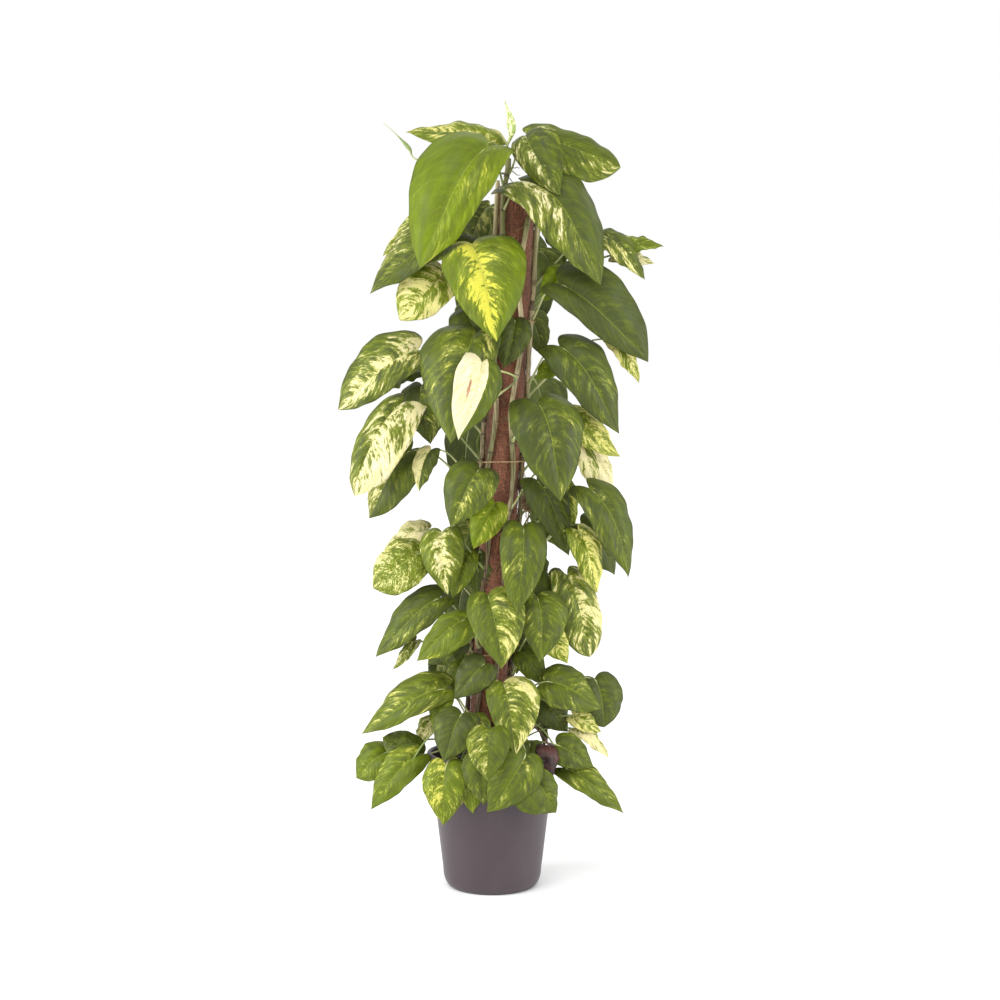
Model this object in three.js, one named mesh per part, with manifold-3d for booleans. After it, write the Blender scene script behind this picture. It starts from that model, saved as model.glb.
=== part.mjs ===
// A golden pothos trained up a coir pole in a grower's pot: pot, soil, pole, vines, ties and leaves.
// Millimetres, +Z up. The origin is the middle of the pot's underside, and -Y is the front.
import * as THREE from "three";
import { mergeVertices } from "three/addons/utils/BufferGeometryUtils.js";
import Module from "manifold-3d";

const wasm = await Module();
wasm.setup();

// ---- Driving dimensions ----
const FIT_GAP = 0.4; // between pieces that touch
const ROUND_SIDES = 40; // sides of the turned pieces
const MERGE = 0.01; // points of a joined leaf that are closer than this become one

const POT = {
  rimRadius: 127,
  height: 262,
  wall: 2.4,
  lipDrop: 14,
  wallTopRadius: 121,
  footRadius: 78,
  footRound: 20,
  shoulderRadius: 95.5,
  shoulderHeight: 34,
  drainRadius: 6,
  drainCircle: 52,
  drainCount: 6,
};
const SOIL = { top: 234, crown: 6, edgeDrop: 5 };
const POLE = { radius: 34, coreRadius: 12, foot: 30, top: 1345, footX: -27, topX: 50, coreStandOut: 12 };
const VINE = { radius: 4.6, sides: 6, steps: 22, clear: 1.2, sway: 9, swayPitch: 260 };
const TIE = { tube: 1.3, heights: [455, 825, 1094], spare: 2.2 };
const PETIOLE = { radius: 1.9, sides: 5, steps: 6 };
const BLADE = { thickness: 1.1, across: 4, along: 8, lobe: 0.12, arch: 0.13, cup: 0.12, fold: 0.16, belly: 0.08 };

// Each vine: its place round the pole in degrees from the front, and how high it has climbed.
const VINES = [
  { name: "vine_a", angle: -35, top: 1400 },
  { name: "vine_b", angle: 25, top: 1290 },
  { name: "vine_c", angle: 85, top: 1415 },
  { name: "vine_d", angle: 150, top: 1180 },
  { name: "vine_e", angle: 215, top: 1310 },
  { name: "vine_f", angle: 272, top: 1362 },
];

// Each leaf: where its stalk meets the blade, where its tip is, how wide it is, and which way its
// upper side faces, in degrees round from the front and in degrees above level. Some say more:
// lean is how much wider one half is than the other, blunt rounds the tip, arch bows the blade, from
// is the height on the vine where the stalk starts, via is a point that the stalk passes, and hump
// lifts the stalk over the pot's rim.
const LEAVES = [
  { name: "leaf_01", base: [10, 8, 1432], tip: [-165, 22, 1463], width: 104, faces: 0, tilt: 50, arch: 0.07, from: 1380 },
  { name: "leaf_02", base: [70, -15, 1446], tip: [246, -20, 1390], width: 100, faces: 10, tilt: 25, lean: 0.22, blunt: 1.3, arch: 0.06 },
  { name: "leaf_03", base: [62, -50, 1441], tip: [122, -120, 1321], width: 96, faces: -25, tilt: 30, lean: -0.2, from: 1368 },
  { name: "leaf_04", base: [-8, -90, 1415], tip: [-138, -125, 1191], width: 164, faces: -20, tilt: 20, lean: 0.28, blunt: 0.25 },
  { name: "leaf_05", base: [57, -70, 1354], tip: [210, -120, 1164], width: 168, faces: 28, tilt: 36, lean: -0.1, blunt: 0.2, arch: 0.16 },
  { name: "leaf_06", base: [236, -5, 1239], tip: [328, -5, 1240], width: 48, faces: 10, tilt: 40, arch: 0.05 },
  { name: "leaf_07", base: [-54, -50, 1257], tip: [-235, -40, 1150], width: 118, faces: -20, tilt: 30, lean: 0.3 },
  { name: "leaf_08", base: [-37, -110, 1234], tip: [6, -170, 1052], width: 160, faces: 0, tilt: 15, lean: -0.12 },
  { name: "leaf_09", base: [-90, -25, 1183], tip: [-176, -40, 1096], width: 104, faces: -10, tilt: 10, lean: 0.15, blunt: 0.5 },
  { name: "leaf_10", base: [126, -60, 1164], tip: [300, -60, 1021], width: 116, faces: 10, tilt: 15, lean: -0.35, blunt: 0.4 },
  { name: "leaf_11", base: [-142, -40, 1039], tip: [-297, -20, 926], width: 108, faces: -15, tilt: 20, lean: 0.2, blunt: 0.5 },
  { name: "leaf_12", base: [-30, -90, 1070], tip: [-80, -140, 866], width: 156, faces: -20, tilt: 10, lean: 0.25 },
  { name: "leaf_13", base: [128, -60, 1046], tip: [240, -70, 880], width: 112, faces: 15, tilt: 20, lean: -0.05 },
  { name: "leaf_14", base: [-18, -166, 1013], tip: [-62, -186, 872], width: 92, faces: 15, tilt: 10, from: 950, via: [44, -128, 985] },
  { name: "leaf_15", base: [-172, -60, 938], tip: [-268, -60, 765], width: 98, faces: -10, tilt: 15, lean: -0.3, blunt: 0.8 },
  { name: "leaf_16", base: [86, -110, 940], tip: [130, -150, 758], width: 142, faces: 15, tilt: 15 },
  { name: "leaf_17", base: [-155, -15, 850], tip: [-238, -5, 715], width: 94, faces: -15, tilt: 15, lean: -0.12, blunt: 0.3 },
  { name: "leaf_18", base: [-23, -110, 816], tip: [-78, -130, 709], width: 104, faces: -10, tilt: 15 },
  { name: "leaf_19", base: [184, -75, 778], tip: [266, -75, 612], width: 98, faces: 30, tilt: 15, via: [140, -30, 757] },
  { name: "leaf_20", base: [85, -50, 793], tip: [142, -62, 663], width: 84, faces: 15, tilt: 10 },
  { name: "leaf_21", base: [171, -20, 706], tip: [240, -5, 608], width: 88, faces: 20, tilt: 15 },
  { name: "leaf_22", base: [59, -100, 707], tip: [44, -148, 546], width: 92, faces: 5, tilt: 10 },
  { name: "leaf_23", base: [-95, -60, 694], tip: [-85, -80, 576], width: 90, faces: -10, tilt: 10 },
  { name: "leaf_24", base: [-139, -30, 652], tip: [-229, -30, 583], width: 98, faces: -10, tilt: 20, blunt: 0.8 },
  { name: "leaf_25", base: [144, -42, 610], tip: [190, -52, 454], width: 84, faces: 15, tilt: 15, blunt: 1.4 },
  { name: "leaf_26", base: [-8, -110, 580], tip: [20, -150, 446], width: 112, faces: 0, tilt: 10, lean: -0.12 },
  { name: "leaf_27", base: [85, -90, 574], tip: [92, -108, 452], width: 96, faces: 10, tilt: 10, lean: -0.15 },
  { name: "leaf_28", base: [-100, -30, 566], tip: [-228, -20, 450], width: 80, faces: -20, tilt: 20, lean: 0.1 },
  { name: "leaf_29", base: [-50, -80, 530], tip: [-144, -90, 453], width: 78, faces: -15, tilt: 20, lean: -0.15 },
  { name: "leaf_30", base: [21, -102, 412], tip: [43, -152, 285], width: 104, faces: 5, tilt: 15, lean: -0.22 },
  { name: "leaf_31", base: [102, -60, 408], tip: [209, -60, 354], width: 98, faces: 5, tilt: 35 },
  { name: "leaf_32", base: [-89, -50, 393], tip: [-252, -40, 303], width: 84, faces: -15, tilt: 30, lean: 0.2 },
  { name: "leaf_33", base: [-57, -105, 354], tip: [-90, -125, 266], width: 92, faces: -10, tilt: 15 },
  { name: "leaf_34", base: [-4, -164, 334], tip: [-8, -178, 241], width: 84, faces: 0, tilt: 10, from: 276, via: [-14, -110, 306] },
  { name: "leaf_35", base: [64, -134, 282], tip: [-6, -160, 176], width: 100, faces: 5, tilt: 10, from: 290 },
  { name: "leaf_36", base: [-86, -122, 260], tip: [-90, -128, 145], width: 86, faces: -10, tilt: 10 },
  { name: "leaf_37", base: [80, -131, 238], tip: [122, -120, 168], width: 96, faces: 15, tilt: 10, lean: 0.3, hump: 28 },
  { name: "leaf_38", base: [-143, -54, 264], tip: [-236, -42, 157], width: 74, faces: -15, tilt: 20, lean: 0.1, hump: 45 },
  { name: "leaf_39", base: [136, -50, 240], tip: [255, -45, 152], width: 60, faces: 15, tilt: 25, lean: -0.1, hump: 70 },
  // The back of the plant.
  { name: "leaf_40", base: [40, 95, 1275], tip: [60, 190, 1110], width: 120, faces: 170, tilt: 25 },
  { name: "leaf_41", base: [-10, 95, 1210], tip: [-40, 190, 1040], width: 110, faces: 200, tilt: 25 },
  { name: "leaf_42", base: [80, 110, 990], tip: [110, 215, 830], width: 120, faces: 165, tilt: 25 },
  { name: "leaf_43", base: [-40, 85, 900], tip: [-60, 175, 745], width: 100, faces: 200, tilt: 25 },
  { name: "leaf_44", base: [50, 105, 690], tip: [70, 200, 540], width: 110, faces: 170, tilt: 25 },
  { name: "leaf_45", base: [-60, 100, 470], tip: [-90, 190, 330], width: 100, faces: 200, tilt: 25 },
];

const WITHERED = {
  name: "withered_leaf",
  base: [108, -94, 290],
  tip: [114, -104, 228],
  width: 50,
  faces: 20,
  tilt: 10,
  arch: 0.3,
  cup: 0.7,
  from: 296,
  hump: 20,
};
// The newest leaf is still rolled up: points along its middle, and its radius at each of them.
const FURLED = {
  vine: "vine_a",
  points: [[28, -50, 1418], [34, -66, 1434], [38, -69, 1448], [36, -63, 1464], [31, -53, 1482], [26, -43, 1500], [24, -38, 1512]],
  radii: [2, 2.6, 6, 8.4, 8.6, 6.6, 3, 0.6],
  sides: 8,
  steps: 15,
};

// ---- Finishes ----
const finish = (colour, roughness) => new THREE.MeshStandardMaterial({ color: colour, roughness, metalness: 0 });
const FINISH = {
  pot: finish(0x6f6468, 0.45),
  soil: finish(0x2b211b, 0.95),
  coir: finish(0x7a4632, 0.95),
  core: finish(0xa98a5e, 0.8),
  vine: finish(0x6f7440, 0.6),
  tie: finish(0xb08a5a, 0.8),
  leaf: finish(0x4d7a2c, 0.4),
  newLeaf: finish(0xc9cf86, 0.45),
  deadLeaf: finish(0x4a211c, 0.5),
};

// ---- Small helpers ----
const degrees = (d) => (d * Math.PI) / 180;
const share = (value, from, to) => (value - from) / (to - from);
const point = (xyz) => new THREE.Vector3(...xyz);

// A closed geometry as a solid, for joins and cuts.
function solidOf(geometry) {
  const bare = geometry.clone();
  bare.deleteAttribute("normal");
  bare.deleteAttribute("uv");
  const merged = mergeVertices(bare, 1e-3);
  const vertProperties = new Float32Array(merged.attributes.position.array);
  const triVerts = new Uint32Array(merged.index.array);
  return new wasm.Manifold(new wasm.Mesh({ numProp: 3, vertProperties, triVerts }));
}

// A solid back as a geometry.
function geometryOf(solid) {
  const mesh = solid.getMesh();
  const geometry = new THREE.BufferGeometry();
  geometry.setAttribute("position", new THREE.BufferAttribute(new Float32Array(mesh.vertProperties), 3));
  geometry.setIndex(new THREE.BufferAttribute(new Uint32Array(mesh.triVerts), 1));
  geometry.computeVertexNormals();
  return geometry;
}

// A closed profile of [radius, height] points turned about +Z.
function turned(profile) {
  const points = profile.map(([r, z]) => new THREE.Vector2(r, z));
  return new THREE.LatheGeometry(points, ROUND_SIDES).rotateX(Math.PI / 2);
}

// A round bar along a curve, with flat ends.
function bar(curve, radius, sides, steps) {
  const section = new THREE.Shape();
  for (let i = 0; i < sides; i++) {
    const a = (2 * Math.PI * i) / sides;
    section[i ? "lineTo" : "moveTo"](radius * Math.cos(a), radius * Math.sin(a));
  }
  return new THREE.ExtrudeGeometry(section, { steps, extrudePath: curve, bevelEnabled: false });
}

// A round bar along a curve whose radius changes: radiusAt takes a share of the curve's length.
function taperedBar(curve, radiusAt, sides, steps) {
  const geometry = new THREE.CylinderGeometry(1, 1, 1, sides, steps);
  const frames = curve.computeFrenetFrames(steps);
  const places = geometry.attributes.position;
  for (let i = 0; i < places.count; i++) {
    const step = Math.round((places.getY(i) + 0.5) * steps);
    const radius = radiusAt(step / steps);
    const at = curve
      .getPointAt(step / steps)
      .addScaledVector(frames.normals[step], -places.getX(i) * radius)
      .addScaledVector(frames.binormals[step], places.getZ(i) * radius);
    places.setXYZ(i, at.x, at.y, at.z);
  }
  return geometry;
}

function piece(name, geometry, material) {
  const mesh = new THREE.Mesh(geometry, material);
  mesh.name = name;
  return mesh;
}

// The pole leans a little to the right as it rises.
function poleCentre(z) {
  const x = POLE.footX + (POLE.topX - POLE.footX) * share(z, POLE.foot, POLE.top);
  return new THREE.Vector3(x, 0, z);
}

function alongPole(from, to) {
  return new THREE.LineCurve3(poleCentre(from), poleCentre(to));
}

// ---- Pot ----
// Outer points of the pot's wall, from the foot up to the lip, moved in by an offset.
function potWall(offset) {
  const arc = [0, 30, 60, 90].map((d) => {
    const r = POT.shoulderRadius - POT.footRadius;
    return [
      POT.footRadius + r * Math.sin(degrees(d)) - offset * Math.sin(degrees(d)),
      POT.shoulderHeight * (1 - Math.cos(degrees(d))) + offset * Math.cos(degrees(d)),
    ];
  });
  return [...arc, [POT.wallTopRadius - offset, POT.height - POT.lipDrop]];
}

function pot() {
  const inside = potWall(POT.wall).reverse();
  const profile = [
    [0, 0],
    ...potWall(0),
    [POT.rimRadius, POT.height - POT.lipDrop],
    [POT.rimRadius, POT.height],
    [POT.wallTopRadius - POT.wall, POT.height],
    ...inside,
    [0, POT.wall],
  ];
  let solid = solidOf(turned(profile));
  for (let i = 0; i < POT.drainCount; i++) {
    const a = (2 * Math.PI * i) / POT.drainCount;
    const hole = new THREE.CylinderGeometry(POT.drainRadius, POT.drainRadius, 6 * POT.wall, 12).rotateX(Math.PI / 2);
    hole.translate(POT.drainCircle * Math.cos(a), POT.drainCircle * Math.sin(a), 0);
    solid = solid.subtract(solidOf(hole));
  }
  return piece("pot", geometryOf(solid), FINISH.pot);
}

// ---- Soil, with a hole for the pole ----
function soil() {
  const wall = potWall(POT.wall + FIT_GAP);
  const lip = wall[wall.length - 1];
  const shoulder = wall[wall.length - 2];
  const edge = SOIL.top - SOIL.edgeDrop;
  const edgeRadius = shoulder[0] + (lip[0] - shoulder[0]) * share(edge, shoulder[1], lip[1]);
  const profile = [
    [0, POT.wall + FIT_GAP],
    ...wall.slice(0, -1),
    [edgeRadius, edge],
    [edgeRadius * 0.85, SOIL.top],
    [0, SOIL.top + SOIL.crown],
  ];
  const hole = bar(alongPole(POLE.foot - FIT_GAP, POT.height), POLE.radius + FIT_GAP, 20, 1);
  return piece("potting_soil", geometryOf(solidOf(turned(profile)).subtract(solidOf(hole))), FINISH.soil);
}

// ---- Pole: a wooden core in a sleeve of coir ----
function poleCore() {
  const curve = alongPole(POLE.foot, POLE.top + POLE.coreStandOut);
  return piece("pole_core", bar(curve, POLE.coreRadius, 12, 1), FINISH.core);
}

function coirSleeve() {
  const outside = solidOf(bar(alongPole(POLE.foot, POLE.top), POLE.radius, 20, 6));
  const inside = solidOf(bar(alongPole(0, POLE.top + 50), POLE.coreRadius + FIT_GAP, 12, 1));
  return piece("coir_sleeve", geometryOf(outside.subtract(inside)), FINISH.coir);
}

// ---- Vines ----
const vineReach = POLE.radius + VINE.radius + VINE.clear;

// Where a vine is at a height: close against the pole, swaying a little from side to side.
function vinePoint(vine, z) {
  const sway = degrees(VINE.sway * Math.sin((2 * Math.PI * z) / VINE.swayPitch + degrees(vine.angle * 3)));
  const a = degrees(vine.angle) + sway;
  return poleCentre(z).add(new THREE.Vector3(vineReach * Math.sin(a), -vineReach * Math.cos(a), 0));
}

function vine(spec) {
  const foot = SOIL.top + SOIL.crown;
  const points = [];
  for (let i = 0; i <= VINE.steps; i++) points.push(vinePoint(spec, foot + ((spec.top - foot) * i) / VINE.steps));
  const curve = new THREE.CatmullRomCurve3(points);
  return piece(spec.name, bar(curve, VINE.radius, VINE.sides, VINE.steps), FINISH.vine);
}

// ---- Ties: a loop round the pole and its vines ----
function tie(height, index) {
  const reach = POLE.radius + 2 * VINE.radius + VINE.clear + TIE.tube + TIE.spare;
  const loop = new THREE.TorusGeometry(reach, TIE.tube, 4, 24);
  loop.translate(...poleCentre(height).toArray());
  return piece(`tie_${index + 1}`, loop, FINISH.tie);
}

// ---- Leaves ----
// The blade's half-width as a share of its widest, from the stalk (0) to the tip (1).
function fullness(s, blunt) {
  const shoulder = 0.68 + 0.34 * Math.sin((Math.PI / 2) * Math.min(1, s / 0.32));
  const taper = (1 - s ** (2.5 + 3 * blunt)) ** 0.95;
  const drip = 1 - 0.35 * (1 - blunt) * s ** 7;
  return Math.max(0.02, shoulder * taper * drip);
}

// A leaf's own axes: along the midrib, across the blade, and out of its upper side.
function leafAxes(leaf) {
  const base = point(leaf.base);
  const along = point(leaf.tip).sub(base);
  const length = along.length();
  along.normalize();
  const a = degrees(leaf.faces);
  const e = degrees(leaf.tilt);
  const facing = new THREE.Vector3(Math.sin(a) * Math.cos(e), -Math.cos(a) * Math.cos(e), Math.sin(e));
  const across = new THREE.Vector3().crossVectors(along, facing).normalize();
  const out = new THREE.Vector3().crossVectors(across, along);
  return { base, length, along, across, out };
}

// A point of the blade: s from stalk to tip, t from edge to edge (-1 to 1), k through its thickness.
function bladePoint(leaf, axes, s, t, k) {
  const edge = Math.abs(t);
  const full = fullness(s, leaf.blunt ?? 0);
  const lobe = BLADE.lobe * Math.sin(Math.PI * 0.75 * edge ** 0.8) * (1 - s) ** 3;
  const u = s - lobe;
  const half = (leaf.width * full * (1 + (leaf.lean ?? 0) * Math.sign(t))) / 2;
  const bow = (leaf.arch ?? BLADE.arch) * axes.length * 6.75 * u * (1 - u) ** 2;
  const sag = (leaf.cup ?? BLADE.cup) * leaf.width * edge ** 2 * full;
  const bellied = BLADE.fold * edge + BLADE.belly * Math.sin(Math.PI * Math.min(1, edge * 1.15));
  const fold = half * bellied * (1 - 0.6 * s);
  return axes.base
    .clone()
    .addScaledVector(axes.along, (u > 0 ? u : 0.75 * u) * axes.length)
    .addScaledVector(axes.across, t * half)
    .addScaledVector(axes.out, bow - sag + fold + k * BLADE.thickness);
}

function blade(leaf, axes) {
  const box = new THREE.BoxGeometry(2, 1, 1, BLADE.across, BLADE.along, 1);
  const places = box.attributes.position;
  for (let i = 0; i < places.count; i++) {
    const at = bladePoint(leaf, axes, places.getY(i) + 0.5, places.getX(i), places.getZ(i));
    places.setXYZ(i, at.x, at.y, at.z);
  }
  // The underside's squares are split along the same corners as the upper side's, so that the two
  // sides stay apart where the blade twists.
  const under = box.groups[5];
  for (let i = under.start; i < under.start + under.count; i += 6) {
    const [a, b, d, , c] = box.index.array.slice(i, i + 6);
    box.index.array.set([a, b, c, a, c, d], i);
  }
  return box;
}

// The vine nearest to the leaf's side of the pole, and where on it the stalk starts.
function stalkFoot(leaf, base) {
  const reach = base.clone().sub(poleCentre(base.z)).setZ(0).length();
  const droop = Math.min(110, 20 + 0.45 * reach);
  const highest = Math.max(...VINES.map((v) => v.top)) - 15;
  const height = leaf.from ?? Math.min(highest, Math.max(SOIL.top + 26, base.z - droop));
  const nearest = VINES.filter((v) => v.top > height + 10)
    .map((v) => ({ v, d: vinePoint(v, height).sub(base).setZ(0).length() }))
    .sort((p, q) => p.d - q.d)[0].v;
  const centre = vinePoint(nearest, height);
  const away = base.clone().sub(centre).setZ(0).normalize();
  const start = centre.clone().addScaledVector(away, VINE.radius + PETIOLE.radius + FIT_GAP);
  return { start, away };
}

function stalk(leaf, axes) {
  const { start, away } = stalkFoot(leaf, axes.base);
  const join = bladePoint(leaf, axes, 0.06, 0, -0.3);
  const span = start.distanceTo(axes.base);
  const rise = away.clone().multiplyScalar(0.7).add(new THREE.Vector3(0, 0, 0.7));
  const arrive = axes.base.clone().sub(start).normalize().add(axes.along).normalize();
  const lift = new THREE.Vector3(0, 0, leaf.hump ?? 0);
  const curve = leaf.via
    ? new THREE.CatmullRomCurve3([start, point(leaf.via), join])
    : new THREE.CubicBezierCurve3(
        start,
        start.clone().addScaledVector(rise, span * 0.45).add(lift),
        axes.base.clone().addScaledVector(arrive, -span * 0.35).add(lift),
        join,
      );
  return bar(curve, PETIOLE.radius, PETIOLE.sides, PETIOLE.steps);
}

function leafPiece(leaf) {
  const axes = leafAxes(leaf);
  const solid = solidOf(blade(leaf, axes)).add(solidOf(stalk(leaf, axes))).simplify(MERGE);
  return piece(leaf.name, geometryOf(solid), leaf.finish ?? FINISH.leaf);
}

// The rolled leaf: thin at its stalk, full in the middle, and drawn out to a point.
function furledLeaf() {
  const grower = VINES.find((v) => v.name === FURLED.vine);
  const foot = vinePoint(grower, grower.top).add(new THREE.Vector3(0, 0, 6 * FIT_GAP));
  const curve = new THREE.CatmullRomCurve3([foot, ...FURLED.points.map(point)]);
  const last = FURLED.radii.length - 1;
  const radiusAt = (u) => {
    const i = Math.min(last - 1, Math.floor(u * last));
    return THREE.MathUtils.lerp(FURLED.radii[i], FURLED.radii[i + 1], u * last - i);
  };
  return piece("furled_leaf", taperedBar(curve, radiusAt, FURLED.sides, FURLED.steps), FINISH.newLeaf);
}

const plant = new THREE.Group();
plant.add(pot(), soil(), poleCore(), coirSleeve());
VINES.forEach((spec) => plant.add(vine(spec)));
TIE.heights.forEach((height, i) => plant.add(tie(height, i)));
LEAVES.forEach((leaf) => plant.add(leafPiece(leaf)));
plant.add(furledLeaf(), leafPiece({ ...WITHERED, finish: FINISH.deadLeaf }));

export default plant;
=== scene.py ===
"""A golden pothos on a coir pole in a grower's pot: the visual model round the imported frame.

Lengths in the tables are in millimetres and objects are in metres, with +Z up and -Y to the front.
"""

from __future__ import annotations

import logging
import math
import random
from dataclasses import dataclass, field, replace
from enum import Enum
from typing import Iterable, Sequence

import bmesh
import bpy
from mathutils import Matrix, Vector, noise
from mathutils.bvhtree import BVHTree


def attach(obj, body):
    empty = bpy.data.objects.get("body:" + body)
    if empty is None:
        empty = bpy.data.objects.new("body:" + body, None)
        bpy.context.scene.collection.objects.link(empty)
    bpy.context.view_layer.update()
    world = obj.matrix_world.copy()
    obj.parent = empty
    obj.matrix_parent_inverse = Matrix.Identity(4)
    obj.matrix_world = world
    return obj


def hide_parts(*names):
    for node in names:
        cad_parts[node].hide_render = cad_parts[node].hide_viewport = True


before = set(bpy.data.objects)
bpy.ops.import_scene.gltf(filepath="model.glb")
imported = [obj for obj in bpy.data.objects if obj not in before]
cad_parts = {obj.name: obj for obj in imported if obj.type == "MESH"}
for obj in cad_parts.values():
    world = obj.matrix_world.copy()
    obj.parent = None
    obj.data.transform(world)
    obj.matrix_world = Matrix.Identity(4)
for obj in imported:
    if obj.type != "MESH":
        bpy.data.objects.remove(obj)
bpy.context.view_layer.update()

MM = 0.001
TURN = 2 * math.pi
BODY = "root"
LOG = logging.getLogger("pothos")
Point = tuple[float, float, float]
Colour = tuple[float, float, float]
Socket = bpy.types.NodeSocket


# ---------------------------------------------------------------- materials


class Graph:
    """A material's node tree, with one short method for each kind of node it uses."""

    def __init__(self, name: str) -> None:
        """Starts a material with a Principled shader.

        Args:
            name: The material's name.
        """
        self.material = bpy.data.materials.new(name)
        self.material.use_nodes = True
        self.tree = self.material.node_tree
        self.tree.nodes.clear()
        self.shader = self.node("ShaderNodeBsdfPrincipled")
        output = self.node("ShaderNodeOutputMaterial")
        self.tree.links.new(self.shader.outputs[0], output.inputs["Surface"])

    def node(self, kind: str, **settings: object) -> bpy.types.Node:
        """Adds a node and sets its properties.

        Args:
            kind: The node's type.
            **settings: Its properties.

        Returns:
            The node.
        """
        made = self.tree.nodes.new(kind)
        for key, value in settings.items():
            setattr(made, key, value)
        return made

    def feed(self, socket: Socket, value: object) -> None:
        """Links a socket to another one, or sets its number or colour.

        Args:
            socket: The socket to feed.
            value: The socket, number or colour that it gets.
        """
        if isinstance(value, Socket):
            self.tree.links.new(value, socket)
        elif isinstance(value, tuple) and socket.type == "RGBA":
            socket.default_value = (*value[:3], 1.0)
        else:
            socket.default_value = value

    def math(self, operation: str, *values: object) -> Socket:
        """A Math node's result.

        Args:
            operation: What it does with its values.
            *values: Numbers or sockets.

        Returns:
            The result's socket.
        """
        made = self.node("ShaderNodeMath", operation=operation)
        for socket, value in zip(made.inputs, values):
            self.feed(socket, value)
        return made.outputs[0]

    def centred(self, value: object) -> Socket:
        """A pattern less its middle value of a half."""
        return self.math("SUBTRACT", value, 0.5)

    def band(self, value: object, low: object, high: object) -> Socket:
        """A smooth step from 0 to 1.

        Args:
            value: What is compared.
            low: Where the step starts.
            high: Where it ends.

        Returns:
            The step's socket.
        """
        made = self.node("ShaderNodeMapRange", interpolation_type="SMOOTHSTEP")
        for key, given in (("Value", value), ("From Min", low), ("From Max", high)):
            self.feed(made.inputs[key], given)
        return made.outputs["Result"]

    def blend(self, share: object, first: object, second: object) -> Socket:
        """A colour between two others.

        Args:
            share: How much of the second one it has.
            first: The colour where the share is 0.
            second: The colour where the share is 1.

        Returns:
            The colour's socket.
        """
        made = self.node("ShaderNodeMix", data_type="RGBA", clamp_factor=True)
        self.feed(made.inputs[0], share)
        self.feed(made.inputs[6], first)
        self.feed(made.inputs[7], second)
        return made.outputs[2]

    def attribute(self, name: str) -> tuple[Socket, ...]:
        """A point attribute's three parts."""
        read = self.node("ShaderNodeAttribute", attribute_name=name)
        return self.split(read.outputs["Vector"])

    def split(self, vector: Socket) -> tuple[Socket, ...]:
        """A vector's three parts.

        Args:
            vector: The vector's socket.

        Returns:
            The sockets of X, Y and Z.
        """
        made = self.node("ShaderNodeSeparateXYZ")
        self.feed(made.inputs[0], vector)
        return tuple(made.outputs)

    def combine(self, *parts: object) -> Socket:
        """A vector from three parts.

        Args:
            *parts: X, Y and Z, each a number or a socket.

        Returns:
            The vector's socket.
        """
        made = self.node("ShaderNodeCombineXYZ")
        for socket, value in zip(made.inputs, parts):
            self.feed(socket, value)
        return made.outputs[0]

    def place(self, scale: Point = (1.0, 1.0, 1.0), turn: Point = (0.0, 0.0, 0.0)) -> Socket:
        """Object coordinates, turned and stretched.

        Args:
            scale: The stretch along each axis.
            turn: The turn about each axis, in degrees.

        Returns:
            The vector socket.
        """
        coordinates = self.node("ShaderNodeTexCoord")
        made = self.node("ShaderNodeMapping")
        self.feed(made.inputs["Vector"], coordinates.outputs["Object"])
        made.inputs["Rotation"].default_value = tuple(math.radians(a) for a in turn)
        made.inputs["Scale"].default_value = scale
        return made.outputs[0]

    def noise(
        self, vector: object, scale: float = 1.0, detail: float = 3.0, roughness: float = 0.55
    ) -> Socket:
        """A noise pattern from about 0 to 1.

        Args:
            vector: Where it is read.
            scale: How fine it is.
            detail: How many finer layers it has.
            roughness: How strong those layers are.

        Returns:
            The pattern's socket.
        """
        made = self.node("ShaderNodeTexNoise")
        self.feed(made.inputs["Vector"], vector)
        self.feed(made.inputs["Scale"], scale)
        self.feed(made.inputs["Detail"], detail)
        self.feed(made.inputs["Roughness"], roughness)
        return made.outputs[0]

    def bump(self, height: object, depth: float, strength: float = 1.0) -> None:
        """Gives the shader a relief.

        Args:
            height: The pattern of its height.
            depth: Its full height, in metres.
            strength: How strongly it shows.
        """
        made = self.node("ShaderNodeBump")
        made.inputs["Strength"].default_value = strength
        made.inputs["Distance"].default_value = depth
        self.feed(made.inputs["Height"], height)
        self.feed(self.shader.inputs["Normal"], made.outputs[0])

    def finish(self, colour: object, roughness: object, **constants: float) -> bpy.types.Material:
        """Sets the shader's colour, its roughness and its constant sockets.

        Args:
            colour: The base colour, or a socket that gives it.
            roughness: The roughness, or a socket that gives it.
            **constants: Other shader sockets, with underscores for spaces.

        Returns:
            The material.
        """
        self.feed(self.shader.inputs["Base Color"], colour)
        self.feed(self.shader.inputs["Roughness"], roughness)
        for key, value in constants.items():
            self.shader.inputs[key.replace("_", " ")].default_value = value
        return self.material


class Side(Enum):
    """The two sides of a leaf."""

    UPPER = "upper"
    UNDER = "under"


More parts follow.
